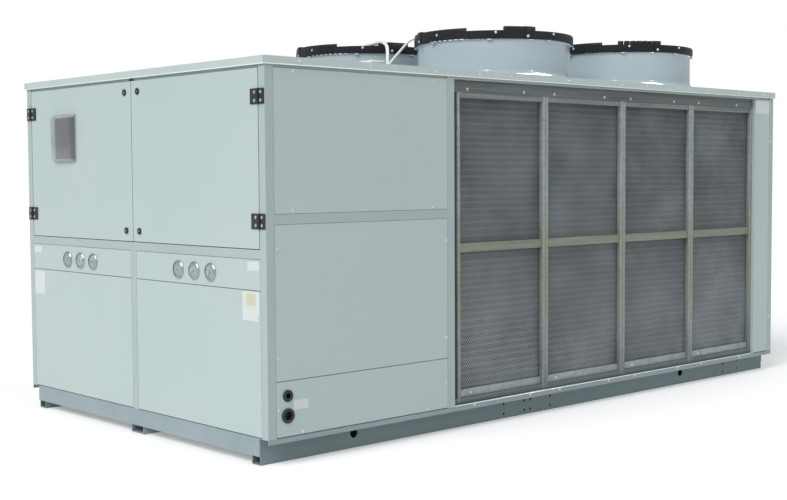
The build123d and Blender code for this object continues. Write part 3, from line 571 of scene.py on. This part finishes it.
strips = [slab("strip", (bar_back, start, toe_top + 0.03), (bar_face - 0.012, start + bay, blank_top), 0.002, 2)
          for start in bay_starts]
both_sides(strips, "coil_blank_strips", blank_paint)
# Sill toes: a pale strip of painted highlight along the foot of each coil opening.
edges = [slab("edge", (face_x - 0.002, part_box("coil_sills")[0].y, 0.1235), (face_x + 0.0003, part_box("coil_sills")[1].y, 0.1285),
              0.0008, 1)]
both_sides(edges, "sill_edges", edge_highlight_paint)

coil_low, coil_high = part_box("condenser_coil_right")
places = []
for side, face in ((1, "right"), (-1, "left")):
    places += [spot(face, side * header_face, door_end + run, 1.708)
               for run in (1.279, 1.705, 1.949, 2.38, 2.62, 3.044, 3.299, 3.715)]
    places += [spot(face, side * (bar_face - 0.012), door_end + run, 0.176) for run in (1.31, 1.98, 2.66, 3.33)]
    places += [spot(face, side * face_x, door_end + run, 0.1185)
               for run in (1.305, 1.733, 1.974, 2.403, 2.647, 3.073, 3.319, 3.744)]
hand_over(repeat(button_screw("screw"), "coil_frame_screws", places), screw_white)

# Coil guards: expanded metal, thin flat strands that cross on the slant over each opening,
# held behind the mullions and rails. One bay's mesh is made, clipped square and copied.
strand, tree, shader = new_finish("expanded_metal")
place = add_node(tree, "TexCoord")
axes = add_node(tree, "SeparateXYZ")
lift = add_node(tree, "MapRange", {"From Min": 0.5, "From Max": 1.2, "To Min": 1.0, "To Max": 0.0})
worn = add_node(tree, "TexNoise", {"Scale": 2.6, "Detail": 5.0, "Roughness": 0.7})
level = add_node(tree, "MapRange", {"From Min": 0.38, "From Max": 0.62, "To Min": 0.0, "To Max": 0.6})
share = add_node(tree, "Math", operation="MULTIPLY_ADD")
share.inputs[1].default_value = 0.4
tint = add_node(tree, "Mix", data_type="RGBA")
tint.inputs["A"].default_value = (0.15, 0.17, 0.175, 1)
tint.inputs["B"].default_value = (0.36, 0.40, 0.42, 1)
tree.links.new(place.outputs["Object"], axes.inputs["Vector"])
tree.links.new(place.outputs["Object"], worn.inputs["Vector"])
tree.links.new(axes.outputs["Z"], lift.inputs["Value"])
tree.links.new(worn.outputs["Fac"], level.inputs["Value"])
tree.links.new(lift.outputs["Result"], share.inputs[0])
tree.links.new(level.outputs["Result"], share.inputs[2])
tree.links.new(share.outputs["Value"], tint.inputs["Factor"])
tree.links.new(tint.outputs["Result"], shader.inputs["Base Color"])
shader.inputs["Metallic"].default_value = 0.3
shader.inputs["Roughness"].default_value = 0.5
strand_pitch, strand_thick, strand_wide = 0.0145, 0.0010, 0.0027


def wire_mesh(name, width, height):
    """Two layers of slanting strands clipped to a rectangle in the plane of a long side."""
    reach = width + height
    layers = []
    for lean in (1, -1):
        wire = slab(name, (-strand_thick / 2, -reach, -strand_wide / 2), (strand_thick / 2, reach, strand_wide / 2),
                    0.0002, 1)
        wire.data.transform(Matrix.Rotation(lean * math.radians(52), 4, "X"))
        wire.data.transform(Matrix.Translation((lean * strand_thick * 0.3, -reach / 2, 0)))
        row = wire.modifiers.new("row", "ARRAY")
        row.count = int(2.2 * reach / strand_pitch)
        row.use_relative_offset = False
        row.use_constant_offset = True
        row.constant_offset_displace = (0, strand_pitch, 0)
        wire.data.transform(Matrix.Translation((0, -0.6 * reach, 0)))
        bpy.ops.object.modifier_apply(modifier="row")
        layers.append(wire)
    deselect()
    for layer in layers:
        layer.select_set(True)
    bpy.context.view_layer.objects.active = layers[0]
    bpy.ops.object.join()
    bpy.ops.object.mode_set(mode="EDIT")
    for point, normal in (((0, -width / 2, 0), (0, -1, 0)), ((0, width / 2, 0), (0, 1, 0)),
                          ((0, 0, -height / 2), (0, 0, -1)), ((0, 0, height / 2), (0, 0, 1))):
        bpy.ops.mesh.select_all(action="SELECT")
        bpy.ops.mesh.bisect(plane_co=point, plane_no=normal, use_fill=False, clear_outer=True)
        bpy.ops.mesh.select_all(action="SELECT")
    bpy.ops.object.mode_set(mode="OBJECT")
    return layers[0]


mesh_plane = bar_back - 0.002
for level, low_z, high_z in (("lower", blank_top, rail_low), ("upper", rail_high, head_low)):
    places = [Matrix.Translation((side * mesh_plane, start + bay / 2, (low_z + high_z) / 2))
              for side in (1, -1) for start in bay_starts]
    guard_mesh = repeat(wire_mesh("wire", bay, high_z - low_z), f"coil_mesh_{level}", places)
    hand_over(guard_mesh, strand)

# Fin packs: thin aluminium fins on horizontal tubes. The rolled fin edges swell over each
# tube row and fall back between rows. Their colour is painted light and shade: near black for the shaded gaps between
# fins, with lighter painted bands over the rows.
fins, tree, shader = new_finish("fin_pack_painted_light_and_shade")
place = add_node(tree, "TexCoord")
axes = add_node(tree, "SeparateXYZ")
row_pitch = (coil_high.z - coil_low.z) / 46
row = add_node(tree, "Math", operation="DIVIDE")
row.inputs[1].default_value = row_pitch
row_start = add_node(tree, "Math", operation="SUBTRACT")
row_start.inputs[1].default_value = coil_low.z
step = add_node(tree, "Math", operation="FRACT")
# Row bands: painted light on each swelling row and painted shade between rows, over a near-black painted shade for the
# gaps between fins.
bands = add_node(tree, "ValToRGB")
stops = bands.color_ramp.elements
stops[0].position, stops[0].color = 0.0, (0.018, 0.021, 0.022, 1)
stops[1].position, stops[1].color = 1.0, (0.018, 0.021, 0.022, 1)
for position, tone in ((0.18, 0.03), (0.42, 0.06), (0.6, 0.20), (0.72, 0.12), (0.86, 0.03)):
    stop = stops.new(position)
    stop.color = (tone * 0.95, tone * 1.02, tone * 1.06, 1)
wobble = add_node(tree, "TexNoise", {"Scale": 3.0, "Detail": 2.0})
wobble_size = add_node(tree, "Math", operation="MULTIPLY_ADD")
wobble_size.inputs[1].default_value = 0.35
# Fine vertical lines darken the gaps between fins: painted shade.
fin_lines = add_node(tree, "TexWave", {"Scale": 75.0, "Distortion": 0.6, "Detail": 1.0}, bands_direction="Y")
patch = add_node(tree, "TexNoise", {"Scale": 1.3, "Detail": 2.0})
patch_share = add_node(tree, "MapRange", {"From Min": 0.35, "From Max": 0.65})
cast = add_node(tree, "Mix", data_type="RGBA")
cast.inputs["A"].default_value = (0.82, 0.92, 0.90, 1)
cast.inputs["B"].default_value = (1.06, 1.02, 1.16, 1)
tinted = add_node(tree, "Mix", data_type="RGBA", blend_type="MULTIPLY")
tinted.inputs["Factor"].default_value = 1.0
lined = add_node(tree, "Mix", data_type="RGBA", blend_type="MULTIPLY")
lined.inputs["Factor"].default_value = 0.35
relief = add_node(tree, "Bump", {"Strength": 0.6, "Distance": 0.002})
for target in (axes, wobble, fin_lines, patch):
    tree.links.new(place.outputs["Object"], target.inputs["Vector"])
tree.links.new(axes.outputs["Z"], row_start.inputs[0])
tree.links.new(row_start.outputs["Value"], row.inputs[0])
tree.links.new(wobble.outputs["Fac"], wobble_size.inputs[0])
tree.links.new(row.outputs["Value"], wobble_size.inputs[2])
tree.links.new(wobble_size.outputs["Value"], step.inputs[0])
tree.links.new(step.outputs["Value"], bands.inputs["Fac"])
tree.links.new(patch.outputs["Fac"], patch_share.inputs["Value"])
tree.links.new(patch_share.outputs["Result"], cast.inputs["Factor"])
tree.links.new(bands.outputs["Color"], tinted.inputs["A"])
tree.links.new(cast.outputs["Result"], tinted.inputs["B"])
tree.links.new(tinted.outputs["Result"], lined.inputs["A"])
tree.links.new(fin_lines.outputs["Color"], lined.inputs["B"])
tree.links.new(lined.outputs["Result"], shader.inputs["Base Color"])
tree.links.new(fin_lines.outputs["Fac"], relief.inputs["Height"])
tree.links.new(relief.outputs["Normal"], shader.inputs["Normal"])
shader.inputs["Metallic"].default_value = 0.35
shader.inputs["Roughness"].default_value = 0.5

rows, steps = 46, 6
for side, word in ((1, "right"), (-1, "left")):
    low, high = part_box(f"condenser_coil_{word}")
    outer = max(abs(low.x), abs(high.x))
    deselect()
    bpy.ops.mesh.primitive_grid_add(x_subdivisions=1, y_subdivisions=rows * steps, size=1)
    pack = bpy.context.object
    pack.name = f"fin_pack_{word}"
    shape = bmesh.new()
    shape.from_mesh(pack.data)
    for vert in shape.verts:
        share = vert.co.y + 0.5
        phase = (share * rows) % 1.0
        swell = 0.0035 * (1 - math.cos(2 * math.pi * phase)) / 2
        vert.co = Vector((side * (outer - 0.0035 + swell), side * vert.co.x * (high.y - low.y) + (low.y + high.y) / 2,
                          low.z + share * (high.z - low.z)))
    shape.to_mesh(pack.data)
    shape.free()
    thick = pack.modifiers.new("depth", "SOLIDIFY")
    thick.thickness, thick.offset = 0.06, -1
    bpy.ops.object.modifier_apply(modifier="depth")
    hand_over(pack, fins)
    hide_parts(f"condenser_coil_{word}")

# Fan shrouds: spun steel rings with a flared foot and a rolled lip, in glossy light
# blue-grey enamel. Each stands on its deck and carries the guard.
enamel = sprayed("shroud_enamel", (0.377, 0.455, 0.49), (0.35, 0.43, 0.475), 0.14, (60, 0.05), (0.1, 0.12), 0.05, 0.6)
shroud_low, shroud_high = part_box("fan_shroud_1")
foot_z, lip_z = shroud_low.z, shroud_high.z
bore, flare, sheet = 0.430, 0.046, 0.003
profile = [(0.486, foot_z + 0.0022), (0.4857, foot_z + sheet), (0.476, foot_z + sheet)]
for n in range(1, 13):
    angle = math.radians(90 * n / 12)
    profile.append((bore + flare * (1 - math.sin(angle)), foot_z + sheet + flare * (1 - math.cos(angle))))
profile += [(bore, foot_z + 0.12), (bore, lip_z - 0.012), (bore + 0.001, lip_z - 0.0075), (bore + 0.004, lip_z - 0.0042),
            (bore + 0.0095, lip_z - sheet)]
fan_spots = [tuple((a + b) / 2 for a, b in zip(*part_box(f"fan_shroud_{n}")))[:2] for n in (1, 2, 3, 4)]


def spun_ring(name, profile, sides, wall):
    """An open ring drawn up edge by edge and then given its wall inwards."""
    (r0, z0), (r1, z1) = profile[:2]
    deselect()
    bpy.ops.mesh.primitive_cone_add(vertices=sides, radius1=r0, radius2=r1, depth=z1 - z0, end_fill_type="NOTHING",
                                    location=(0, 0, (z0 + z1) / 2))
    ring = bpy.context.object
    ring.name = name
    bpy.ops.object.transform_apply(location=True, rotation=False, scale=False)
    bpy.ops.object.mode_set(mode="EDIT")
    bpy.ops.mesh.select_mode(type="EDGE")
    bpy.ops.mesh.select_all(action="DESELECT")
    shape = bmesh.from_edit_mesh(ring.data)
    for edge in shape.edges:
        edge.select_set(all(vert.co.z > z1 - 1e-6 for vert in edge.verts))
    bmesh.update_edit_mesh(ring.data)
    for (ra, za), (rb, zb) in zip(profile[1:], profile[2:]):
        bpy.ops.mesh.extrude_region_move(TRANSFORM_OT_translate={"value": (0, 0, zb - za)})
        bpy.ops.transform.resize(value=(rb / ra, rb / ra, 1), center_override=(0, 0, zb))
    bpy.ops.mesh.select_all(action="SELECT")
    bpy.ops.mesh.normals_make_consistent(inside=False)
    bpy.ops.object.mode_set(mode="OBJECT")
    skin = ring.modifiers.new("wall", "SOLIDIFY")
    skin.thickness, skin.offset = wall, -1
    bpy.ops.object.modifier_apply(modifier="wall")
    return ring


for number, (x, y) in enumerate(fan_spots, start=1):
    ring = spun_ring(f"shroud_ring_{number}", profile, 96, sheet)
    ring.data.transform(Matrix.Translation((x, y, 0)))
    hand_over(ring, enamel)
    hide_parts(f"fan_shroud_{number}")

# Fan guards: a black moulded band with ribs, wire rings across the spokes, and four arms
# whose ends hook over the band and are screwed to the shroud's lip.
guard_black = sprayed("guard_black", (0.006, 0.007, 0.010), (0.016, 0.018, 0.024), 0.38, (160, 0.45), (0.1, 0.06), 0.0,
                      0.0, (0.2, 0.2, 0.2), 0.25)
dress(guard_black, *[f"fan_guard_{n}" for n in (1, 2, 3, 4)])
guard_low, guard_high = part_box("fan_guard_1")
band_top = guard_high.z - 0.022
band_foot = band_top - 0.041
arm_angle = math.radians(-23)
clamp_bearings = ((-38, -19), (-31, -11), (-52, -23), (-38, -19))


def about(fan, reach, angle, z, lean=0.0):
    """A place at a reach and bearing from a fan's axis, its X pointing outwards."""
    return (Matrix.Translation((*fan, z)) @ Matrix.Rotation(angle, 4, "Z") @ Matrix.Translation((reach, 0, 0))
            @ Matrix.Rotation(lean, 4, "Y"))


for number, fan in enumerate(fan_spots, start=1):
    wires = []
    for reach in (0.13, 0.165, 0.20, 0.235, 0.27, 0.305, 0.34, 0.375, 0.41):
        deselect()
        bpy.ops.mesh.primitive_torus_add(major_segments=72, minor_segments=6, major_radius=reach, minor_radius=0.0026,
                                         location=(*fan, band_top + 0.0012))
        bpy.ops.object.transform_apply(location=True, rotation=False, scale=False)
        wires.append(bpy.context.object)
    deselect()
    for wire in wires:
        wire.select_set(True)
    bpy.context.view_layer.objects.active = wires[0]
    bpy.ops.object.join()
    wires[0].name = f"guard_wires_{number}"
    hand_over(wires[0], guard_black)
    ribs = [about(fan, 0.448, math.radians(5 * n), band_foot) for n in range(72)]
    rib = slab("rib", (-0.001, -0.003, 0.001), (0.0016, 0.003, 0.036), 0.0008, 1)
    hand_over(repeat(rib, f"guard_ribs_{number}", ribs), guard_black)
    hooks = [about(fan, 0.448, arm_angle + n * math.pi / 2, 0) for n in range(4)]
    hook = slab("hook", (-0.012, -0.023, band_foot + 0.002), (0.0045, 0.023, guard_high.z), 0.003, 2)
    hand_over(repeat(hook, f"guard_hooks_{number}", hooks), guard_black)
    rail = turned("rail", [(0.4395, band_top - 0.002), (0.4475, band_top - 0.001), (0.4478, band_top + 0.014),
                           (0.4465, band_top + 0.0165), (0.4425, band_top + 0.0165)], 96)
    bpy.ops.object.mode_set(mode="EDIT")
    for bearing, keep in ((-137, 90), (-66, -90)):
        cut = math.radians(bearing + keep)
        bpy.ops.mesh.select_all(action="SELECT")
        bpy.ops.mesh.bisect(plane_co=(0, 0, band_top), plane_no=(-math.cos(cut), -math.sin(cut), 0), use_fill=False,
                            clear_outer=True)
    choose(rail, lambda face: Vector(face.calc_center_median().xy).length < 0.42)
    bpy.ops.mesh.delete(type="FACE")
    bpy.ops.object.mode_set(mode="OBJECT")
    rail.data.transform(Matrix.Translation((*fan, 0)))
    rail.name = f"guard_rail_{number}"
    wall = rail.modifiers.new("wall", "SOLIDIFY")
    wall.thickness, wall.offset = 0.003, -1
    deselect()
    rail.select_set(True)
    bpy.context.view_layer.objects.active = rail
    bpy.ops.object.modifier_apply(modifier="wall")
    hand_over(rail, guard_black)
    start, end = clamp_bearings[number - 1]
    clamps = [about(fan, 0.443, math.radians(start + (end - start) * k / 6), 0) for k in range(7)]
    clamp = slab("clamp", (-0.022, -0.0165, band_foot + 0.001), (0.0065, 0.0165, guard_high.z - 0.0005), 0.004, 2)
    hand_over(repeat(clamp, f"guard_clamps_{number}", clamps), guard_black)
    bolts = [about(fan, 0.4525, arm_angle + n * math.pi / 2, band_foot + 0.011, math.pi / 2) for n in range(4)]
    bolts += [about(fan, 0.4475, arm_angle + math.radians(22.5 + 45 * n), band_top - 0.011, math.pi / 2)
              for n in range(8)]
    hand_over(repeat(button_screw("screw"), f"guard_screws_{number}", bolts), screw_white)
    lugs = [about(fan, 0.436, arm_angle + math.radians(18 + 45 * n), 0) for n in range(8)]
    lug = slab("lug", (-0.004, -0.012, lip_z - 0.012), (0.014, 0.012, lip_z - 0.0035), 0.0015, 2)
    hand_over(repeat(lug, f"shroud_lugs_{number}", lugs), enamel)

# Fan rotors: a domed outer-rotor hub and six twisted sheet blades, in dull grey.
rotor_grey = sprayed("rotor_grey", (0.10, 0.105, 0.11), (0.13, 0.135, 0.14), 0.5, (300, 0.1))
dress(rotor_grey, *[f"fan_rotor_{n}" for n in (1, 2, 3, 4)])

# Fan leads: white sheathed cables that run over the guards from each motor and down into a
# pale junction box with a screwed lid.
sheath = plain("white_sheath", (0.72, 0.73, 0.72), 0.4, 0.0, (350, 0.2), 0.93)
dress(sheath, "fan_lead_right", "fan_lead_left", "cable_box")
low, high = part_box("cable_box")
lid = slab("cable_box_lid", (low.x - 0.002, low.y - 0.002, high.z - 0.022), (high.x + 0.002, high.y + 0.002, high.z + 0.002),
           0.006, 3)
hand_over(lid, sheath)
corners = [spot("top", x, y, high.z + 0.0018) for x in (low.x + 0.012, high.x - 0.012)
           for y in (low.y + 0.012, high.y - 0.012)]
hand_over(repeat(button_screw("screw"), "cable_box_screws", corners), screw_white)

# Control cabinet: a painted tray with a zinc plate on stand-offs for the switchgear.
tray_paint = sprayed("tray_paint", (0.30, 0.32, 0.32), (0.27, 0.29, 0.29), 0.5, (400, 0.1))
dress(tray_paint, "control_cabinet")
# The mounting plate shares the zinc with its painted grass reflection.
dress(zinc, "mounting_plate")

# Inspection window: a clear moulded hood with bevelled sides, pushed over the opening in
# the left door from the front.
clear, tree, shader = new_finish("clear_cover")
scuffs = add_node(tree, "TexNoise", {"Scale": 60.0, "Detail": 5.0})
haze = add_node(tree, "MapRange", {"To Min": 0.04, "To Max": 0.16})
tree.links.new(scuffs.outputs["Fac"], haze.inputs["Value"])
tree.links.new(haze.outputs["Result"], shader.inputs["Roughness"])
shader.inputs["Base Color"].default_value = (0.80, 0.83, 0.83, 1)
shader.inputs["Transmission Weight"].default_value = 0.9
shader.inputs["IOR"].default_value = 1.45
low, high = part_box("inspection_window")
deselect()
bpy.ops.mesh.primitive_cube_add(size=1, location=(low + high) / 2)
hood = bpy.context.object
hood.name = "window_hood"
hood.scale = high - low
bpy.ops.object.transform_apply(location=True, rotation=False, scale=True)
bpy.ops.object.mode_set(mode="EDIT")
choose(hood, lambda face: face.normal.y < -0.9)
width, height = high.x - low.x, high.z - low.z
bpy.ops.transform.resize(value=((width - 0.028) / width, 1, (height - 0.028) / height),
                         center_override=((low.x + high.x) / 2, low.y, (low.z + high.z) / 2))
bpy.ops.mesh.select_mode(type="EDGE")
bpy.ops.mesh.select_all(action="DESELECT")
shape = bmesh.from_edit_mesh(hood.data)
for edge in shape.edges:
    edge.select_set(any(vert.co.y < low.y + 0.001 for vert in edge.verts))
bmesh.update_edit_mesh(hood.data)
bpy.ops.mesh.bevel(offset=0.007, segments=4, affect="EDGES")
choose(hood, lambda face: face.normal.y > 0.9)
bpy.ops.mesh.delete(type="FACE")
bpy.ops.object.mode_set(mode="OBJECT")
wall = hood.modifiers.new("wall", "SOLIDIFY")
wall.thickness, wall.offset = 0.003, -1
bpy.ops.object.modifier_apply(modifier="wall")
hand_over(hood, clear, "left_door")
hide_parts("inspection_window")

# Hinges and latches: glass-filled black plastic. Each hinge has four plated screws beside
# its barrel, each latch a round cap with a sunk insert for a square key.
black_plastic = plain("black_plastic", (0.014, 0.015, 0.017), 0.42, 0.0, (600, 0.25))
dress(black_plastic, "post_hinge_plates", "door_hinge_plates_left", "door_hinge_plates_right", "latches_left",
      "latches_right")
hinge_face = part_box("post_hinge_plates")[0].y
leaf_face = -face_y - 0.0045
bright_screw = plain("bright_screw", (0.5, 0.52, 0.52), 0.3, 0.6)
for side, word in ((1, "right"), (-1, "left")):
    heights = (1.082, 1.626)
    post = [spot("front", side * 1.062, leaf_face, middle + step) for middle in heights for step in (-0.018, 0.018)]
    door = [spot("front", side * 1.018, leaf_face, middle + step) for middle in heights for step in (-0.018, 0.018)]
    hand_over(repeat(button_screw("screw"), f"post_hinge_screws_{word}", post), bright_screw)
    hand_over(repeat(button_screw("screw"), f"door_hinge_screws_{word}", door), bright_screw,
              f"{word}_door")
    keys = [spot("front", side * 0.060, -face_y - 0.005, z) for z in (1.012, 1.697)]
    key = turned("key", [(0.0115, 0), (0.0115, 0.0008), (0.0105, 0.0014), (0.0085, 0.0014), (0.0080, 0.0002)], 24)
    hand_over(repeat(key, f"latch_inserts_{word}", keys), black_plastic, f"{word}_door")
    squares = [spot("front", side * 0.060, -face_y - 0.005, z) for z in (1.012, 1.697)]
    square = slab("square", (-0.0035, -0.0035, 0), (0.0035, 0.0035, 0.0012), 0.0004, 1)
    hand_over(repeat(square, f"latch_keys_{word}", squares), bright_screw, f"{word}_door")

# Pressure gauges: six flanged steel gauges with white dials, graduated round three quarters
# of a turn, black pointers and flat glass.
steel = plain("polished_steel", (0.38, 0.41, 0.42), 0.28, 0.8)
dial_white = plain("dial_white", (0.42, 0.47, 0.47), 0.45, 0.0, (500, 0.05), 0.96)
dial_black = plain("dial_black", (0.02, 0.02, 0.022), 0.5)
glass, tree, shader = new_finish("gauge_glass")
smear = add_node(tree, "TexNoise", {"Scale": 90.0, "Detail": 3.0})
film = add_node(tree, "MapRange", {"To Min": 0.0, "To Max": 0.08})
tree.links.new(smear.outputs["Fac"], film.inputs["Value"])
tree.links.new(film.outputs["Result"], shader.inputs["Roughness"])
shader.inputs["Base Color"].default_value = (0.95, 0.97, 0.97, 1)
shader.inputs["Transmission Weight"].default_value = 1.0
shader.inputs["IOR"].default_value = 1.2
gauge_x = [side * 0.530 + step * 0.132 for side in (-1, 1) for step in (-1, 0, 1)]
gauge_spots = [spot("front", x, -face_y, 0.841) for x in gauge_x]
bezel = turned("bezel", [(0.0300, -0.055), (0.0320, -0.053), (0.0320, -0.0004), (0.0435, 0), (0.0435, 0.0032),
                         (0.0405, 0.0068), (0.0368, 0.0090), (0.0344, 0.0090), (0.0338, 0.0040)], 40)
bezels = hand_over(repeat(bezel, "gauge_bezels", gauge_spots), steel)
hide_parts("pressure_gauges")
dial = turned("dial", [(0.0335, 0.0036), (0.0335, 0.0046), (0.0330, 0.0048), (0.0300, 0.0048)], 40)
hand_over(repeat(dial, "gauge_dials", gauge_spots), dial_white)
marks = []
needles = []
for n, place in enumerate(gauge_spots):
    for k in range(21):
        marks.append(place @ Matrix.Rotation(math.radians(-225 + 13.5 * k), 4, "Z") @ Matrix.Translation((0.0275, 0, 0.0047)))
    needles.append(place @ Matrix.Rotation(math.radians(150 + 17 * n), 4, "Z"))
mark = slab("mark", (-0.003, -0.0005, 0), (0.003, 0.0005, 0.0003), 0.0001, 1)
hand_over(repeat(mark, "gauge_marks", marks), dial_black)
needle = slab("needle", (-0.007, -0.0009, 0.0052), (0.024, 0.0009, 0.0058), 0.0003, 1)
hand_over(repeat(needle, "gauge_pointers", needles), dial_black)
cap = turned("cap", [(0.0035, 0.0048), (0.0035, 0.0062), (0.0028, 0.0067), (0.0008, 0.0068)], 16)
hand_over(repeat(cap, "gauge_caps", gauge_spots), dial_black)
pane = turned("pane", [(0.0342, 0.0072), (0.0342, 0.0080), (0.0338, 0.0082), (0.0300, 0.0083)], 40)
hand_over(repeat(pane, "gauge_panes", gauge_spots), glass)

# Cable entries: moulded rubber grommets with a rounded lip, dulled by dust.
rubber = sprayed("rubber", (0.010, 0.010, 0.011), (0.016, 0.016, 0.017), 0.6, (300, 0.2), (0.4, 0.15), 0.0, 0.0, (0.1, 0.1, 0.1))
dress(rubber, "cable_entries")

# Blank plates: thin satin sheets stuck beside the gauges, low on the right side and at the
# head of the rear blank panel. They carry nothing.
plate_white = plain("plate_white", (0.53, 0.58, 0.565), 0.4, 0.0, (700, 0.05), 0.97)
plate_cream = plain("plate_cream", (0.50, 0.50, 0.36), 0.35, 0.0, (700, 0.05), 0.95)


def plate(name, face, across, heights, finish, proud=0.0006):
    """A thin plate on the front or right face between two runs and two heights."""
    if face == "front":
        low, high = (across[0], -face_y - proud, heights[0]), (across[1], -face_y + 0.0002, heights[1])
    else:
        low = (face_x - 0.0002, door_end + across[0], heights[0])
        high = (face_x + proud, door_end + across[1], heights[1])
    hand_over(slab(name, low, high, 0.0003, 1), finish)


plate("plate_left_small", "front", (-1.037, -0.948), (0.866, 0.904), plate_white)
plate("plate_left_tall", "front", (-1.036, -0.921), (0.639, 0.765), plate_white)
plate("plate_right_small", "front", (0.946, 1.033), (0.864, 0.905), plate_white)
plate("plate_right_tall", "front", (0.907, 1.031), (0.641, 0.770), plate_white)
plate("plate_right_cream", "front", (0.935, 1.003), (0.708, 0.762), plate_cream, 0.0012)
plate("plate_side", "right", (0.141, 0.226), (0.241, 0.284), plate_white)
plate("plate_rear_post", "right", (3.911, 4.068), (1.663, 1.741), plate_white)
